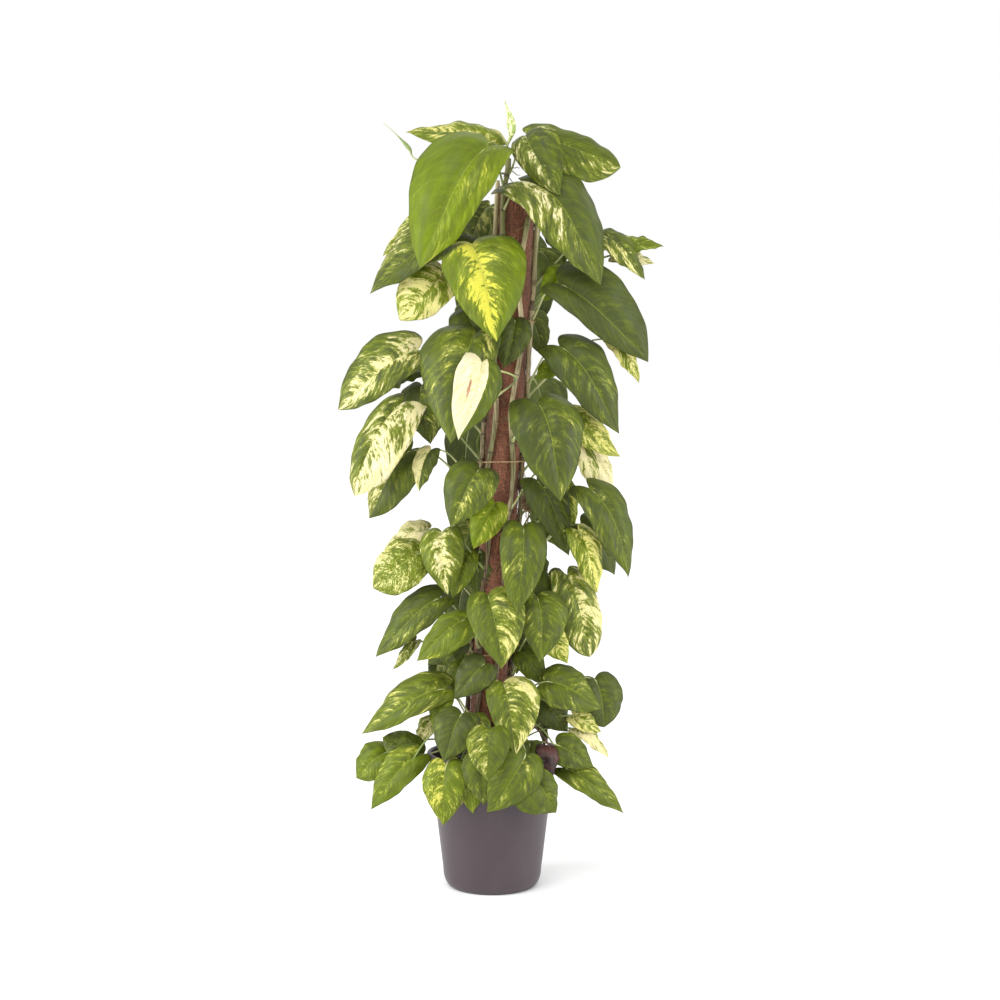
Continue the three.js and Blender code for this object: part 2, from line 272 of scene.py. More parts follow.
@dataclass(frozen=True)
class LeafFinish:
    """A waxy leaf, marbled with cream along its side veins.

    The pattern follows the grain attribute, which holds the vein line, the place across the blade
    and the leaf's own seed. The marble attribute holds how much of each half is cream and how
    light the green is, which is partly the leaf's own colour and partly painted light shining
    through the leaf. The tint attribute holds how yellow the cream is, how much it keeps to the
    middle and how finely it is flecked, and the lay attribute holds where the halves part and the
    place along the blade.
    """

    side: Side
    sectors: tuple[float, float] = (3.8, 1.4)
    streaks: tuple[float, float] = (19.0, 2.2)
    hairs: tuple[float, float] = (70.0, 4.5)
    flecks: tuple[float, float] = (44.0, 15.0)
    warp: float = 0.06
    relief: float = 0.0009
    specular: float = 0.15
    deep: Colour = (0.050, 0.064, 0.015)
    middle: Colour = (0.086, 0.116, 0.008)
    # The light end of the tone range: partly the leaf's own yellow-green and partly painted light
    # shining through the leaf.
    lime_and_light_through: Colour = (0.144, 0.206, 0.002)
    pale_lime: Colour = (0.380, 0.420, 0.050)
    yellow: Colour = (0.560, 0.530, 0.022)
    cream: Colour = (0.700, 0.625, 0.380)
    blush: Colour = (0.750, 0.630, 0.500)
    bloom: Colour = (0.300, 0.360, 0.180)

    def material(self) -> bpy.types.Material:
        """Builds the material.

        Returns:
            The material of this side of a leaf.
        """
        g = Graph(f"leaf_{self.side.value}")
        line, across, seed = g.attribute("grain")
        left, right, light = g.attribute("marble")
        warm, middle, fleck = g.attribute("tint")
        parting, along, _ = g.attribute("lay")
        edge = g.math("ABSOLUTE", across)
        offset = g.math("MULTIPLY_ADD", g.math("SIGN", across), 1.7, seed)
        wander = g.centred(g.noise(g.place(), 34.0, 3.0, 0.6))
        line = g.math("MULTIPLY_ADD", wander, self.warp, line)

        def pattern(stretch: tuple[float, float], detail: float, rough: float) -> Socket:
            """A noise drawn out along the side veins.

            Args:
                stretch: How fine it is from vein to vein, and outward along them.
                detail: How many finer layers it has.
                rough: How strong those layers are.

            Returns:
                The pattern's socket.
            """
            run, outward = stretch
            where = g.combine(
                g.math("MULTIPLY", line, run), g.math("MULTIPLY", edge, outward), offset
            )
            return g.noise(where, 1.0, detail, rough)

        # How the cream breaks up: sectors between veins, streaks, hairlines and flecks.
        sectors = pattern(self.sectors, 2.0, 0.5)
        streaks = pattern(self.streaks, 4.0, 0.65)
        hairs = pattern(self.hairs, 3.0, 0.6)
        flecks = pattern(self.flecks, 3.0, 0.65)
        wide = g.math("MULTIPLY_ADD", streaks, 0.58, g.math("MULTIPLY", sectors, 0.42))
        wide = g.math("MULTIPLY_ADD", g.centred(hairs), 0.22, wide)
        fine = g.math("MULTIPLY_ADD", flecks, 0.6, g.math("MULTIPLY", wide, 0.4))
        mixed = g.math("ADD", wide, g.math("MULTIPLY", g.math("SUBTRACT", fine, wide), fleck))
        spread = g.math("MULTIPLY_ADD", g.centred(mixed), 2.7, 0.5)

        # How much cream there is at a point, from the leaf's own two halves and its middle.
        half = g.band(g.math("SUBTRACT", across, parting), -0.04, 0.04)
        share = g.math("ADD", right, g.math("MULTIPLY", g.math("SUBTRACT", left, right), half))
        inward = g.math("SUBTRACT", 0.45, edge)
        share = g.math("ADD", share, g.math("MULTIPLY", middle, inward))
        limit = g.math("SUBTRACT", 1.0, share)
        marbled = g.band(spread, g.math("SUBTRACT", limit, 0.04), g.math("ADD", limit, 0.10))
        halo = g.band(spread, g.math("SUBTRACT", limit, 0.30), g.math("ADD", limit, 0.04))

        # The greens, whose light end is partly painted light shining through the leaf, the creams,
        # and the veins over both.
        shade = g.noise(g.combine(line, edge, g.math("ADD", offset, 9.0)), 3.6, 3.0)
        # A light leaf turns toward yellow-green, which partly paints light shining through the
        # leaf.
        tone = g.math("ADD", light, g.math("MULTIPLY", g.centred(shade), 0.90))
        tone = g.math("ADD", tone, g.math("MULTIPLY", g.centred(streaks), 0.60))
        green = g.blend(g.band(tone, 0.0, 0.45), self.deep, self.middle)
        green = g.blend(g.band(tone, 0.35, 1.0), green, self.lime_and_light_through)
        lightened = g.blend(0.45, green, self.pale_lime)
        tinted = g.blend(g.band(shade, 0.40, 0.75), self.cream, self.blush)
        cream = g.blend(warm, tinted, self.yellow)
        greener = g.blend(0.55, cream, self.pale_lime)
        streaked = g.blend(g.band(hairs, 0.46, 0.66), cream, greener)
        colour = g.blend(g.math("MULTIPLY", halo, 0.7), green, lightened)
        colour = g.blend(marbled, colour, streaked)
        veins = g.math("ABSOLUTE", g.math("SINE", g.math("MULTIPLY", line, math.pi * Blade.VEINS)))
        net = g.math("SUBTRACT", 1.0, g.band(veins, 0.0, 0.30))
        colour = g.blend(g.math("MULTIPLY", net, 0.05), colour, self.pale_lime)
        thin = g.math("MULTIPLY_ADD", along, -0.020, 0.030)
        rib = g.math("SUBTRACT", 1.0, g.band(edge, 0.004, thin))
        colour = g.blend(g.math("MULTIPLY", rib, 0.30), colour, self.pale_lime)
        if self.side is Side.UNDER:
            colour = g.blend(0.22, colour, self.bloom)

        pores = g.noise(g.place(), 900.0, 2.0)
        crease = g.math("MULTIPLY", net, -0.35)
        height = g.math("ADD", crease, g.math("MULTIPLY", pores, 0.16))
        height = g.math("ADD", height, g.math("MULTIPLY", hairs, 0.22))
        g.bump(height, self.relief, 0.6)
        wax = g.noise(g.place(), 60.0, 3.0)
        low, high = (0.34, 0.52) if self.side is Side.UPPER else (0.50, 0.66)
        roughness = g.math("MULTIPLY_ADD", wax, high - low, low)
        return g.finish(colour, roughness, Specular_IOR_Level=self.specular)


@dataclass(frozen=True)
class StalkFinish:
    """Smooth green stalk, paler in places, with fine lengthwise lines."""

    name: str = "stalk"
    green: Colour = (0.150, 0.220, 0.045)
    pale: Colour = (0.520, 0.520, 0.230)

    def material(self) -> bpy.types.Material:
        """Builds the material.

        Returns:
            The material.
        """
        g = Graph(self.name)
        patches = g.noise(g.place(), 16.0, 2.0)
        lines = g.noise(g.place((900.0, 900.0, 25.0)), 1.0, 2.0)
        share = g.band(g.math("MULTIPLY_ADD", lines, 0.3, patches), 0.45, 0.85)
        g.bump(lines, 0.0002, 0.5)
        return g.finish(g.blend(share, self.green, self.pale), 0.45)


@dataclass(frozen=True)
class StemFinish:
    """Climbing stem: olive to tan bark with pale stripes, and a dark scar at each joint."""

    name: str = "stem"
    olive: Colour = (0.200, 0.205, 0.065)
    tan: Colour = (0.540, 0.440, 0.250)
    bark: Colour = (0.090, 0.048, 0.022)
    scar: Colour = (0.040, 0.022, 0.014)

    def material(self) -> bpy.types.Material:
        """Builds the material. The joint attribute holds nearness to a joint, age and a seed.

        Returns:
            The material.
        """
        g = Graph(self.name)
        joint, age, seed = g.attribute("joint")
        stripes = g.noise(g.place((420.0, 420.0, 9.0)), 1.0, 3.0)
        patches = g.noise(g.place((14.0, 14.0, 5.0)), 1.0, 3.0)
        patches = g.math("ADD", patches, g.math("MULTIPLY", g.centred(seed), 0.3))
        colour = g.blend(g.band(patches, 0.32, 0.54), self.olive, self.tan)
        colour = g.blend(g.band(g.math("MULTIPLY", stripes, age), 0.26, 0.44), colour, self.bark)
        colour = g.blend(g.math("MULTIPLY", g.band(joint, 0.55, 0.95), 0.8), colour, self.scar)
        g.bump(g.math("ADD", stripes, g.math("MULTIPLY", joint, -0.5)), 0.0008, 0.8)
        roughness = g.math("MULTIPLY_ADD", stripes, 0.25, 0.45)
        return g.finish(colour, roughness)


@dataclass(frozen=True)
class CoirFinish:
    """Matted coconut fibre, red-brown, with fibres running every way."""

    name: str = "coir"
    dark: Colour = (0.085, 0.028, 0.013)
    middle: Colour = (0.330, 0.118, 0.058)
    light: Colour = (0.600, 0.280, 0.140)

    def material(self) -> bpy.types.Material:
        """Builds the material from layers of drawn-out noise, each turned another way.

        Returns:
            The material.
        """
        g = Graph(self.name)
        layers = [
            g.noise(g.place((700.0, 700.0, 40.0), (0.0, 8.0, 0.0)), 1.0, 3.0),
            g.noise(g.place((60.0, 500.0, 700.0), (38.0, 0.0, 25.0)), 1.0, 3.0),
            g.noise(g.place((500.0, 60.0, 650.0), (-30.0, 20.0, 0.0)), 1.0, 3.0),
        ]
        fibres = g.math("MAXIMUM", layers[0], g.math("MAXIMUM", layers[1], layers[2]))
        clumps = g.noise(g.place((38.0, 38.0, 22.0)), 1.0, 4.0)
        colour = g.blend(g.band(fibres, 0.48, 0.66), self.dark, self.middle)
        colour = g.blend(g.band(fibres, 0.62, 0.78), colour, self.light)
        colour = g.blend(g.math("MULTIPLY", g.band(clumps, 0.50, 0.72), 0.6), colour, self.middle)
        g.bump(g.math("ADD", fibres, g.math("MULTIPLY", clumps, 0.8)), 0.0025, 0.9)
        return g.finish(colour, 0.92, Sheen_Weight=0.15, Sheen_Roughness=0.6)


@dataclass(frozen=True)
class StrandFinish:
    """Loose strands: coir hairs, roots or twine, in two colours that change from place to place."""

    name: str
    first: Colour
    second: Colour
    roughness: float = 0.85

    def material(self) -> bpy.types.Material:
        """Builds the material.

        Returns:
            The material.
        """
        g = Graph(self.name)
        patches = g.noise(g.place(), 45.0, 3.0)
        fine = g.noise(g.place(), 900.0, 2.0)
        share = g.band(g.math("MULTIPLY_ADD", fine, 0.4, patches), 0.45, 0.95)
        g.bump(fine, 0.0003, 0.6)
        return g.finish(g.blend(share, self.first, self.second), self.roughness)


@dataclass(frozen=True)
class PotFinish:
    """Moulded taupe plastic with a faint satin grain, and light dust above the foot."""

    name: str = "pot_plastic"
    body: Colour = (0.051, 0.036, 0.041)
    dusty: Colour = (0.088, 0.068, 0.073)

    def material(self) -> bpy.types.Material:
        """Builds the material.

        Returns:
            The material.
        """
        g = Graph(self.name)
        clouds = g.noise(g.place((9.0, 9.0, 5.0)), 1.0, 4.0)
        grain = g.noise(g.place(), 1400.0, 2.0)
        _, _, z = g.split(g.place())
        foot = g.math("SUBTRACT", 1.0, g.band(z, 0.0, 0.035))
        dust = g.math("MULTIPLY", g.band(clouds, 0.45, 0.75), 0.30)
        dust = g.math("ADD", dust, g.math("MULTIPLY", g.math("MULTIPLY", foot, clouds), 0.4))
        g.bump(g.math("MULTIPLY_ADD", clouds, 0.3, grain), 0.00012, 0.5)
        roughness = g.math("MULTIPLY_ADD", clouds, 0.16, 0.34)
        return g.finish(g.blend(dust, self.body, self.dusty), roughness, Specular_IOR_Level=0.36)


@dataclass(frozen=True)
class EarthFinish:
    """Peaty potting soil, dark and crumbly."""

    name: str
    dark: Colour = (0.018, 0.011, 0.007)
    light: Colour = (0.085, 0.052, 0.030)

    def material(self) -> bpy.types.Material:
        """Builds the material.

        Returns:
            The material.
        """
        g = Graph(self.name)
        lumps = g.noise(g.place(), 70.0, 5.0, 0.65)
        grit = g.noise(g.place(), 420.0, 3.0)
        crumbs = g.band(g.math("MULTIPLY_ADD", grit, 0.5, lumps), 0.55, 0.95)
        colour = g.blend(crumbs, self.dark, self.light)
        g.bump(g.math("MULTIPLY_ADD", grit, 0.4, lumps), 0.004, 0.9)
        return g.finish(colour, 0.95)


@dataclass(frozen=True)
class StakeFinish:
    """Pale split wood, with its grain along the stake."""

    name: str = "stake_wood"
    light: Colour = (0.500, 0.360, 0.200)
    dark: Colour = (0.250, 0.150, 0.075)

    def material(self) -> bpy.types.Material:
        """Builds the material.

        Returns:
            The material.
        """
        g = Graph(self.name)
        rings = g.noise(g.place((300.0, 300.0, 7.0)), 1.0, 4.0)
        g.bump(rings, 0.0006, 0.6)
        return g.finish(g.blend(g.band(rings, 0.4, 0.68), self.light, self.dark), 0.75)


@dataclass(frozen=True)
class WitheredFinish:
    """A dead leaf: maroon to near black, leathery and a little glossy."""

    name: str = "withered"
    dark: Colour = (0.018, 0.006, 0.005)
    maroon: Colour = (0.066, 0.018, 0.014)
    dry: Colour = (0.200, 0.090, 0.055)

    def material(self) -> bpy.types.Material:
        """Builds the material.

        Returns:
            The material.
        """
        g = Graph(self.name)
        patches = g.noise(g.place(), 55.0, 4.0)
        wrinkles = g.noise(g.place((1.0, 1.0, 0.4)), 260.0, 4.0, 0.65)
        colour = g.blend(g.band(patches, 0.40, 0.62), self.dark, self.maroon)
        colour = g.blend(g.math("MULTIPLY", g.band(wrinkles, 0.58, 0.75), 0.5), colour, self.dry)
        g.bump(wrinkles, 0.0016, 0.8)
        return g.finish(colour, g.math("MULTIPLY_ADD", patches, 0.3, 0.28))


@dataclass(frozen=True)
class FurledFinish:
    """A leaf still rolled up: fresh yellow-green with cream lines that wind round it."""

    name: str = "furled"
    green: Colour = (0.270, 0.390, 0.080)
    cream: Colour = (0.800, 0.760, 0.430)

    def material(self) -> bpy.types.Material:
        """Builds the material.

        Returns:
            The material.
        """
        g = Graph(self.name)
        lines = g.noise(g.place((260.0, 260.0, 24.0), (0.0, 18.0, 0.0)), 1.0, 2.0)
        g.bump(lines, 0.0004, 0.6)
        return g.finish(g.blend(g.band(lines, 0.40, 0.60), self.green, self.cream), 0.42)


class Palette:
    """Every material of the plant, made once."""

    def __init__(self) -> None:
        """Makes each material from its finish."""
        self.upper = LeafFinish(Side.UPPER).material()
        self.under = LeafFinish(Side.UNDER).material()
        self.stalk = StalkFinish().material()
        self.stem = StemFinish().material()
        self.coir = CoirFinish().material()
        self.hair = self.strand("coir_hair", (0.150, 0.058, 0.034), (0.420, 0.210, 0.120))
        self.root = self.strand("aerial_root", (0.110, 0.062, 0.030), (0.330, 0.220, 0.110))
        self.twine = self.strand("twine", (0.380, 0.230, 0.110), (0.600, 0.420, 0.230))
        self.pot = PotFinish().material()
        self.earth = EarthFinish("potting_earth").material()
        self.perlite = EarthFinish("perlite", (0.45, 0.43, 0.40), (0.80, 0.79, 0.76)).material()
        self.stake = StakeFinish().material()
        self.withered = WitheredFinish().material()
        self.mark = self.strand("dry_mark", (0.300, 0.120, 0.070), (0.480, 0.260, 0.160))
        self.furled = FurledFinish().material()

    @staticmethod
    def strand(name: str, first: Colour, second: Colour) -> bpy.types.Material:
        """The material of strands in those two colours."""
        return StrandFinish(name, first, second).material()


# ---------------------------------------------------------------- mesh tools


def new_piece(
    name: str,
    bm: bmesh.types.BMesh,
    materials: Sequence[bpy.types.Material],
    nodes: Sequence[str] = (),
    smooth: bool = True,
) -> bpy.types.Object:
    """Makes a piece from a bmesh, and puts it on the plant's body.

    Args:
        name: The piece's name.
        bm: The mesh, which is freed.
        materials: Its materials, by face index.
        nodes: The CAD nodes that it stands for.
        smooth: Whether its faces are shaded smooth.

    Returns:
        The piece.
    """
    mesh = bpy.data.meshes.new(name)
    bm.to_mesh(mesh)
    bm.free()
    for polygon in mesh.polygons:
        polygon.use_smooth = smooth
    piece = bpy.data.objects.new(name, mesh)
    bpy.context.scene.collection.objects.link(piece)
    for material in materials:
        mesh.materials.append(material)
    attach(piece, BODY)
    if nodes:
        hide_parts(*nodes)
    LOG.info("piece %s: %d faces", name, len(mesh.polygons))
    return piece


def spin_round(
    bm: bmesh.types.BMesh, line: Sequence[tuple[float, float]], steps: int, closed: bool
) -> None:
    """Spins a section about the vertical axis into a shell with its faces outward.

    Args:
        bm: The mesh that it is added to.
        line: The section, as radius and height in millimetres.
        steps: How many sides the shell has.
        closed: Whether the section's last point joins its first one.
    """
    verts = [bm.verts.new((r * MM, 0.0, z * MM)) for r, z in line]
    following = verts[1:] + verts[:1] if closed else verts[1:]
    edges = [bm.edges.new(pair) for pair in zip(verts, following)]
    bmesh.ops.spin(
        bm,
        geom=[*verts, *edges],
        axis=(0, 0, 1),
        cent=(0, 0, 0),
        angle=TURN,
        steps=steps,
        use_merge=True,
    )
    bmesh.ops.remove_doubles(bm, verts=bm.verts, dist=1e-6)
    bmesh.ops.recalc_face_normals(bm, faces=bm.faces)


def circle_edges(verts: Iterable[bmesh.types.BMVert]) -> list[bmesh.types.BMEdge]:
    """The edges at a circle's vertices, each once."""
    return list({edge for v in verts for edge in v.link_edges})


def bell(distance: float, width: float) -> float:
    """A smooth hump: 1 where the distance is 0, falling to nothing past about two widths."""
    return math.exp(-((distance / width) ** 2))


def path_frames(path: Sequence[Vector]) -> list[Matrix]:
    """A frame at each point of a path, whose Z runs along it and which doesn't spin about it.

    Args:
        path: The points.

    Returns:
        A matrix for each point.
    """
    frames: list[Matrix] = []
    last = len(path) - 1
    across = Vector((1.0, 0.0, 0.0))
    for i, at in enumerate(path):
        along = (path[min(i + 1, last)] - path[max(i - 1, 0)]).normalized()
        if not frames and abs(along.dot(across)) > 0.9:
            across = Vector((0.0, 1.0, 0.0))
        across = (across - along * across.dot(along)).normalized()
        side = along.cross(across)
        frames.append(Matrix((across, side, along)).transposed().to_4x4())
        frames[-1].translation = at
    return frames


def sweep(
    bm: bmesh.types.BMesh,
    path: Sequence[Vector],
    radii: Sequence[float],
    sides: int,
    index: int = 0,
) -> list[list[bmesh.types.BMVert]]:
    """Adds a closed round bar along a path.

    Args:
        bm: The mesh that it is added to.
        path: The points along its middle.
        radii: Its radius at each point.
        sides: How many sides its section has.
        index: Its faces' material index.

    Returns:
        The vertices of each ring, from the first to the last.
    """
    known = set(bm.faces)
    frames = path_frames(path)
    first = bmesh.ops.create_circle(
        bm, cap_ends=True, segments=sides, radius=radii[0], matrix=frames[0]
    )
    rings = [first["verts"]]
    edges = circle_edges(rings[0])
    for before, here, small, big in zip(frames, frames[1:], radii, radii[1:]):
        grown = bmesh.ops.extrude_edge_only(bm, edges=edges)["geom"]
        rings.append([g for g in grown if isinstance(g, bmesh.types.BMVert)])
        edges = [g for g in grown if isinstance(g, bmesh.types.BMEdge)]
        move = here @ Matrix.Diagonal((big / small, big / small, 1.0, 1.0)) @ before.inverted()
        bmesh.ops.transform(bm, matrix=move, verts=rings[-1])
    bmesh.ops.edgeloop_fill(bm, edges=edges)
    faces = [f for f in bm.faces if f not in known]
    bmesh.ops.recalc_face_normals(bm, faces=faces)
    for face in faces:
        face.material_index = index
    return rings


def smooth_path(points: Sequence[Vector], steps: int) -> list[Vector]:
    """Points on a smooth curve through the given ones.

    Args:
        points: The points that the curve passes.
        steps: How many steps it has in all.

    Returns:
        steps + 1 points.
    """
    ends = [points[0] * 2 - points[1], *points, points[-1] * 2 - points[-2]]
    out = []
    for i in range(steps + 1):
        place = i / steps * (len(points) - 1)
        k = min(int(place), len(points) - 2)
        u = place - k
        a, b, c, d = ends[k : k + 4]
        out.append(
            0.5
            * (
                b * 2
                + (c - a) * u
                + (a * 2 - b * 5 + c * 4 - d) * u * u
                + (b * 3 - a - c * 3 + d) * u * u * u
            )
        )
    return out


def bezier(a: Vector, b: Vector, c: Vector, d: Vector, steps: int) -> list[Vector]:
    """Points on a cubic curve.

    Args:
        a: Where it starts.
        b: The first control, which it sets out towards.
        c: The second control, which it arrives from.
        d: Where it ends.
        steps: How many steps it has.

    Returns:
        steps + 1 points.
    """
    out = []
    for i in range(steps + 1):
        u = i / steps
        v = 1 - u
        out.append(a * v**3 + b * (3 * v * v * u) + c * (3 * v * u * u) + d * u**3)
    return out


def strands(
    name: str,
    paths: Iterable[Sequence[Vector]],
    radius: float,
    material: bpy.types.Material,
) -> bpy.types.Object:
    """Makes one piece of many thin strands, each along its own path and tapering at its ends.

    Args:
        name: The piece's name.
        paths: The points along each strand.
        radius: A strand's radius in its middle.
        material: Its material.

    Returns:
        The piece.
    """
    curve = bpy.data.curves.new(name, "CURVE")
    curve.dimensions = "3D"
    curve.bevel_depth = radius
    curve.bevel_resolution = 0
    curve.use_fill_caps = True
    curve.resolution_u = 1
    for path in paths:
        spline = curve.splines.new("POLY")
        spline.points.add(len(path) - 1)
        for i, at in enumerate(path):
            spline.points[i].co = (*at, 1.0)
            spline.points[i].radius = 0.35 + 0.65 * math.sin(math.pi * i / (len(path) - 1))
    holder = bpy.data.objects.new(name, curve)
    bpy.context.scene.collection.objects.link(holder)
    bpy.context.view_layer.update()
    evaluated = holder.evaluated_get(bpy.context.evaluated_depsgraph_get())
    mesh = bpy.data.meshes.new_from_object(evaluated)
    bm = bmesh.new()
    bm.from_mesh(mesh)
    bpy.data.objects.remove(holder)
    bpy.data.curves.remove(curve)
    bpy.data.meshes.remove(mesh)
    bmesh.ops.recalc_face_normals(bm, faces=bm.faces)
    return new_piece(name, bm, [material])


# ---------------------------------------------------------------- pot and soil


@dataclass
class Pot:
    """The grower's pot, and the soil in it. Sizes in millimetres."""

    rim_radius: float = 127.0
    height: float = 262.0
    wall: float = 2.4
    lip_drop: float = 14.0
    wall_top: float = 121.0
    foot_radius: float = 78.0
    shoulder: tuple[float, float] = (95.5, 34.0)
    drain_radius: float = 6.0
    drain_circle: float = 52.0
    drains: int = 6
    soil_top: float = 234.0
    soil_crown: float = 6.0
    sides: int = 96
    hole_sides: int = 24
    soil_rings: int = 26
    crumbs: int = 520

    def wall_line(self, offset: float, steps: int = 8) -> list[tuple[float, float]]:
        """The wall's outside from the foot up to the lip, moved in by an offset.

        Args:
            offset: How far it is moved in.
            steps: How many steps the rounded foot has.

        Returns:
            Radius and height of each point.
        """
        line = []
        for i in range(steps + 1):
            a = math.pi / 2 * i / steps
            reach = self.shoulder[0] - self.foot_radius
            line.append(
                (
                    self.foot_radius + (reach - offset) * math.sin(a),
                    self.shoulder[1] * (1 - math.cos(a)) + offset * math.cos(a),
                )
            )
        return [*line, (self.wall_top - offset, self.height - self.lip_drop)]

    def profile(self) -> list[tuple[float, float]]:
        """The wall's section, closed, with a rolled lip and a bead under it.

        Returns:
            Radius and height of each point.
        """
        top, rim, lip = self.height, self.rim_radius, self.height - self.lip_drop
        outside = self.wall_line(0.0)
        wall = self.wall_top
        bead = [(wall + 0.4, lip - 3.0), (wall + 2.2, lip - 0.6), (rim - 1.2, lip)]
        roll = [(rim, lip + 1.4), (rim, top - 2.6), (rim - 0.8, top - 0.8), (rim - 2.6, top)]
        bore, foot = self.wall_top - self.wall, self.foot_radius - 6
        inner = [(bore + 2.2, top), (bore + 0.6, top - 0.7), (bore, top - 2.4)]
        inside = self.wall_line(self.wall)[::-1]
        return [(foot, 0.0), *outside[:-1], *bead, *roll, *inner, *inside, (foot, self.wall)]

    def build_pot(self, looks: Palette) -> bpy.types.Object:
        """Spins the wall, and lays the floor with its drainage holes.

        Args:
            looks: The materials.

        Returns:
            The piece.
        """
        bm = bmesh.new()
        spin_round(bm, self.profile(), self.sides, closed=True)
        self.lay_floor(bm)
        return new_piece("grower_pot", bm, [looks.pot], ["pot"])

    def lay_floor(self, bm: bmesh.types.BMesh) -> None:
        """Adds the floor as a plate with holes, filled from circles and then given its thickness.

        Args:
            bm: The pot's mesh.
        """
        known = set(bm.faces)
        rings = [(0.0, 0.0, self.foot_radius - 1.5, self.sides)]
        for i in range(self.drains):
            a = TURN * i / self.drains
            x, y = self.drain_circle * math.cos(a), self.drain_circle * math.sin(a)
            rings.append((x, y, self.drain_radius, self.hole_sides))
        edges = []
        for x, y, radius, segments in rings:
            move = Matrix.Translation((x * MM, y * MM, 0.1 * MM))
            made = bmesh.ops.create_circle(bm, segments=segments, radius=radius * MM, matrix=move)
            edges += circle_edges(made["verts"])
        bmesh.ops.triangle_fill(bm, use_beauty=True, edges=edges, normal=(0, 0, -1))
        plate = [f for f in bm.faces if f not in known]
        grown = bmesh.ops.extrude_face_region(bm, geom=plate, use_keep_orig=True)["geom"]
        raised = [g for g in grown if isinstance(g, bmesh.types.BMVert)]
        bmesh.ops.translate(bm, vec=(0, 0, (self.wall - 0.2) * MM), verts=raised)
        bmesh.ops.recalc_face_normals(bm, faces=[f for f in bm.faces if f not in known])

    def soil_radius(self, z: float) -> float:
        """The radius that soil has at a height, just inside the wall.

        Args:
            z: The height.

        Returns:
            The radius.
        """
        low, high = self.shoulder[1], self.height - self.lip_drop
        share = (z - low) / (high - low)
        return self.shoulder[0] + (self.wall_top - self.shoulder[0]) * share - self.wall - 0.4

    def build_soil(self, looks: Palette) -> bpy.types.Object:
        """Spins the soil plug with a dented, crumbly top.

        Args:
            looks: The materials.

        Returns:
            The piece.
        """
        edge, top = self.soil_top - 5, self.soil_top + self.soil_crown
        crown = []
        for i in range(self.soil_rings):
            share = i / self.soil_rings
            rise = (top - edge) * math.sin(math.pi / 2 * share)
            crown.append((self.soil_radius(edge) * (1 - share), edge + rise))
        body = [(r, z) for r, z in self.wall_line(self.wall + 0.4) if z < edge]
        bm = bmesh.new()
        section = [(0.0, self.wall + 0.4), *body, *crown, (0.0, top)]
        spin_round(bm, section, self.sides, closed=False)
        for v in bm.verts:
            if v.co.z > edge * MM:
                inner = 1 - min(1.0, max(0.0, (v.co.xy.length / MM - 100) / 12))
                lumps = noise.fractal(v.co * 45, 1.0, 2.0, 4)
                v.co.z += inner * (lumps * 3.2 - 1.0) * MM
        return new_piece("soil_plug", bm, [looks.earth], ["potting_soil"])

    def build_crumbs(self, looks: Palette) -> bpy.types.Object:
        """Scatters bark crumbs and a little perlite on the soil, each a dented ball.

        Args:
            looks: The materials.

        Returns:
            The piece.
        """
        rng = random.Random(11)
        bm = bmesh.new()
        for i in range(self.crumbs):
            a = rng.uniform(0, TURN)
            r = math.sqrt(rng.uniform(0.10, 0.95)) * 112
            size = rng.uniform(1.2, 4.2)
            z = self.soil_top + 5 - 0.055 * max(0.0, r - 30) - 1.2
            grow = [rng.uniform(0.6, 1.3) for _ in range(3)]
            spin = rng.uniform(0, math.pi)
            turn = Matrix.Rotation(spin, 4, (rng.random(), rng.random(), rng.random() + 0.1))
            move = Matrix.Translation((r * math.cos(a) * MM, r * math.sin(a) * MM, z * MM))
            move = move @ turn @ Matrix.Diagonal((*grow, 1.0))
            made = bmesh.ops.create_icosphere(bm, subdivisions=1, radius=size * MM, matrix=move)
            white = i % 9 == 0
            for face in {f for v in made["verts"] for f in v.link_faces}:
                face.material_index = int(white)
        return new_piece("soil_crumbs", bm, [looks.earth, looks.perlite], smooth=False)


# ---------------------------------------------------------------- pole, stems and ties


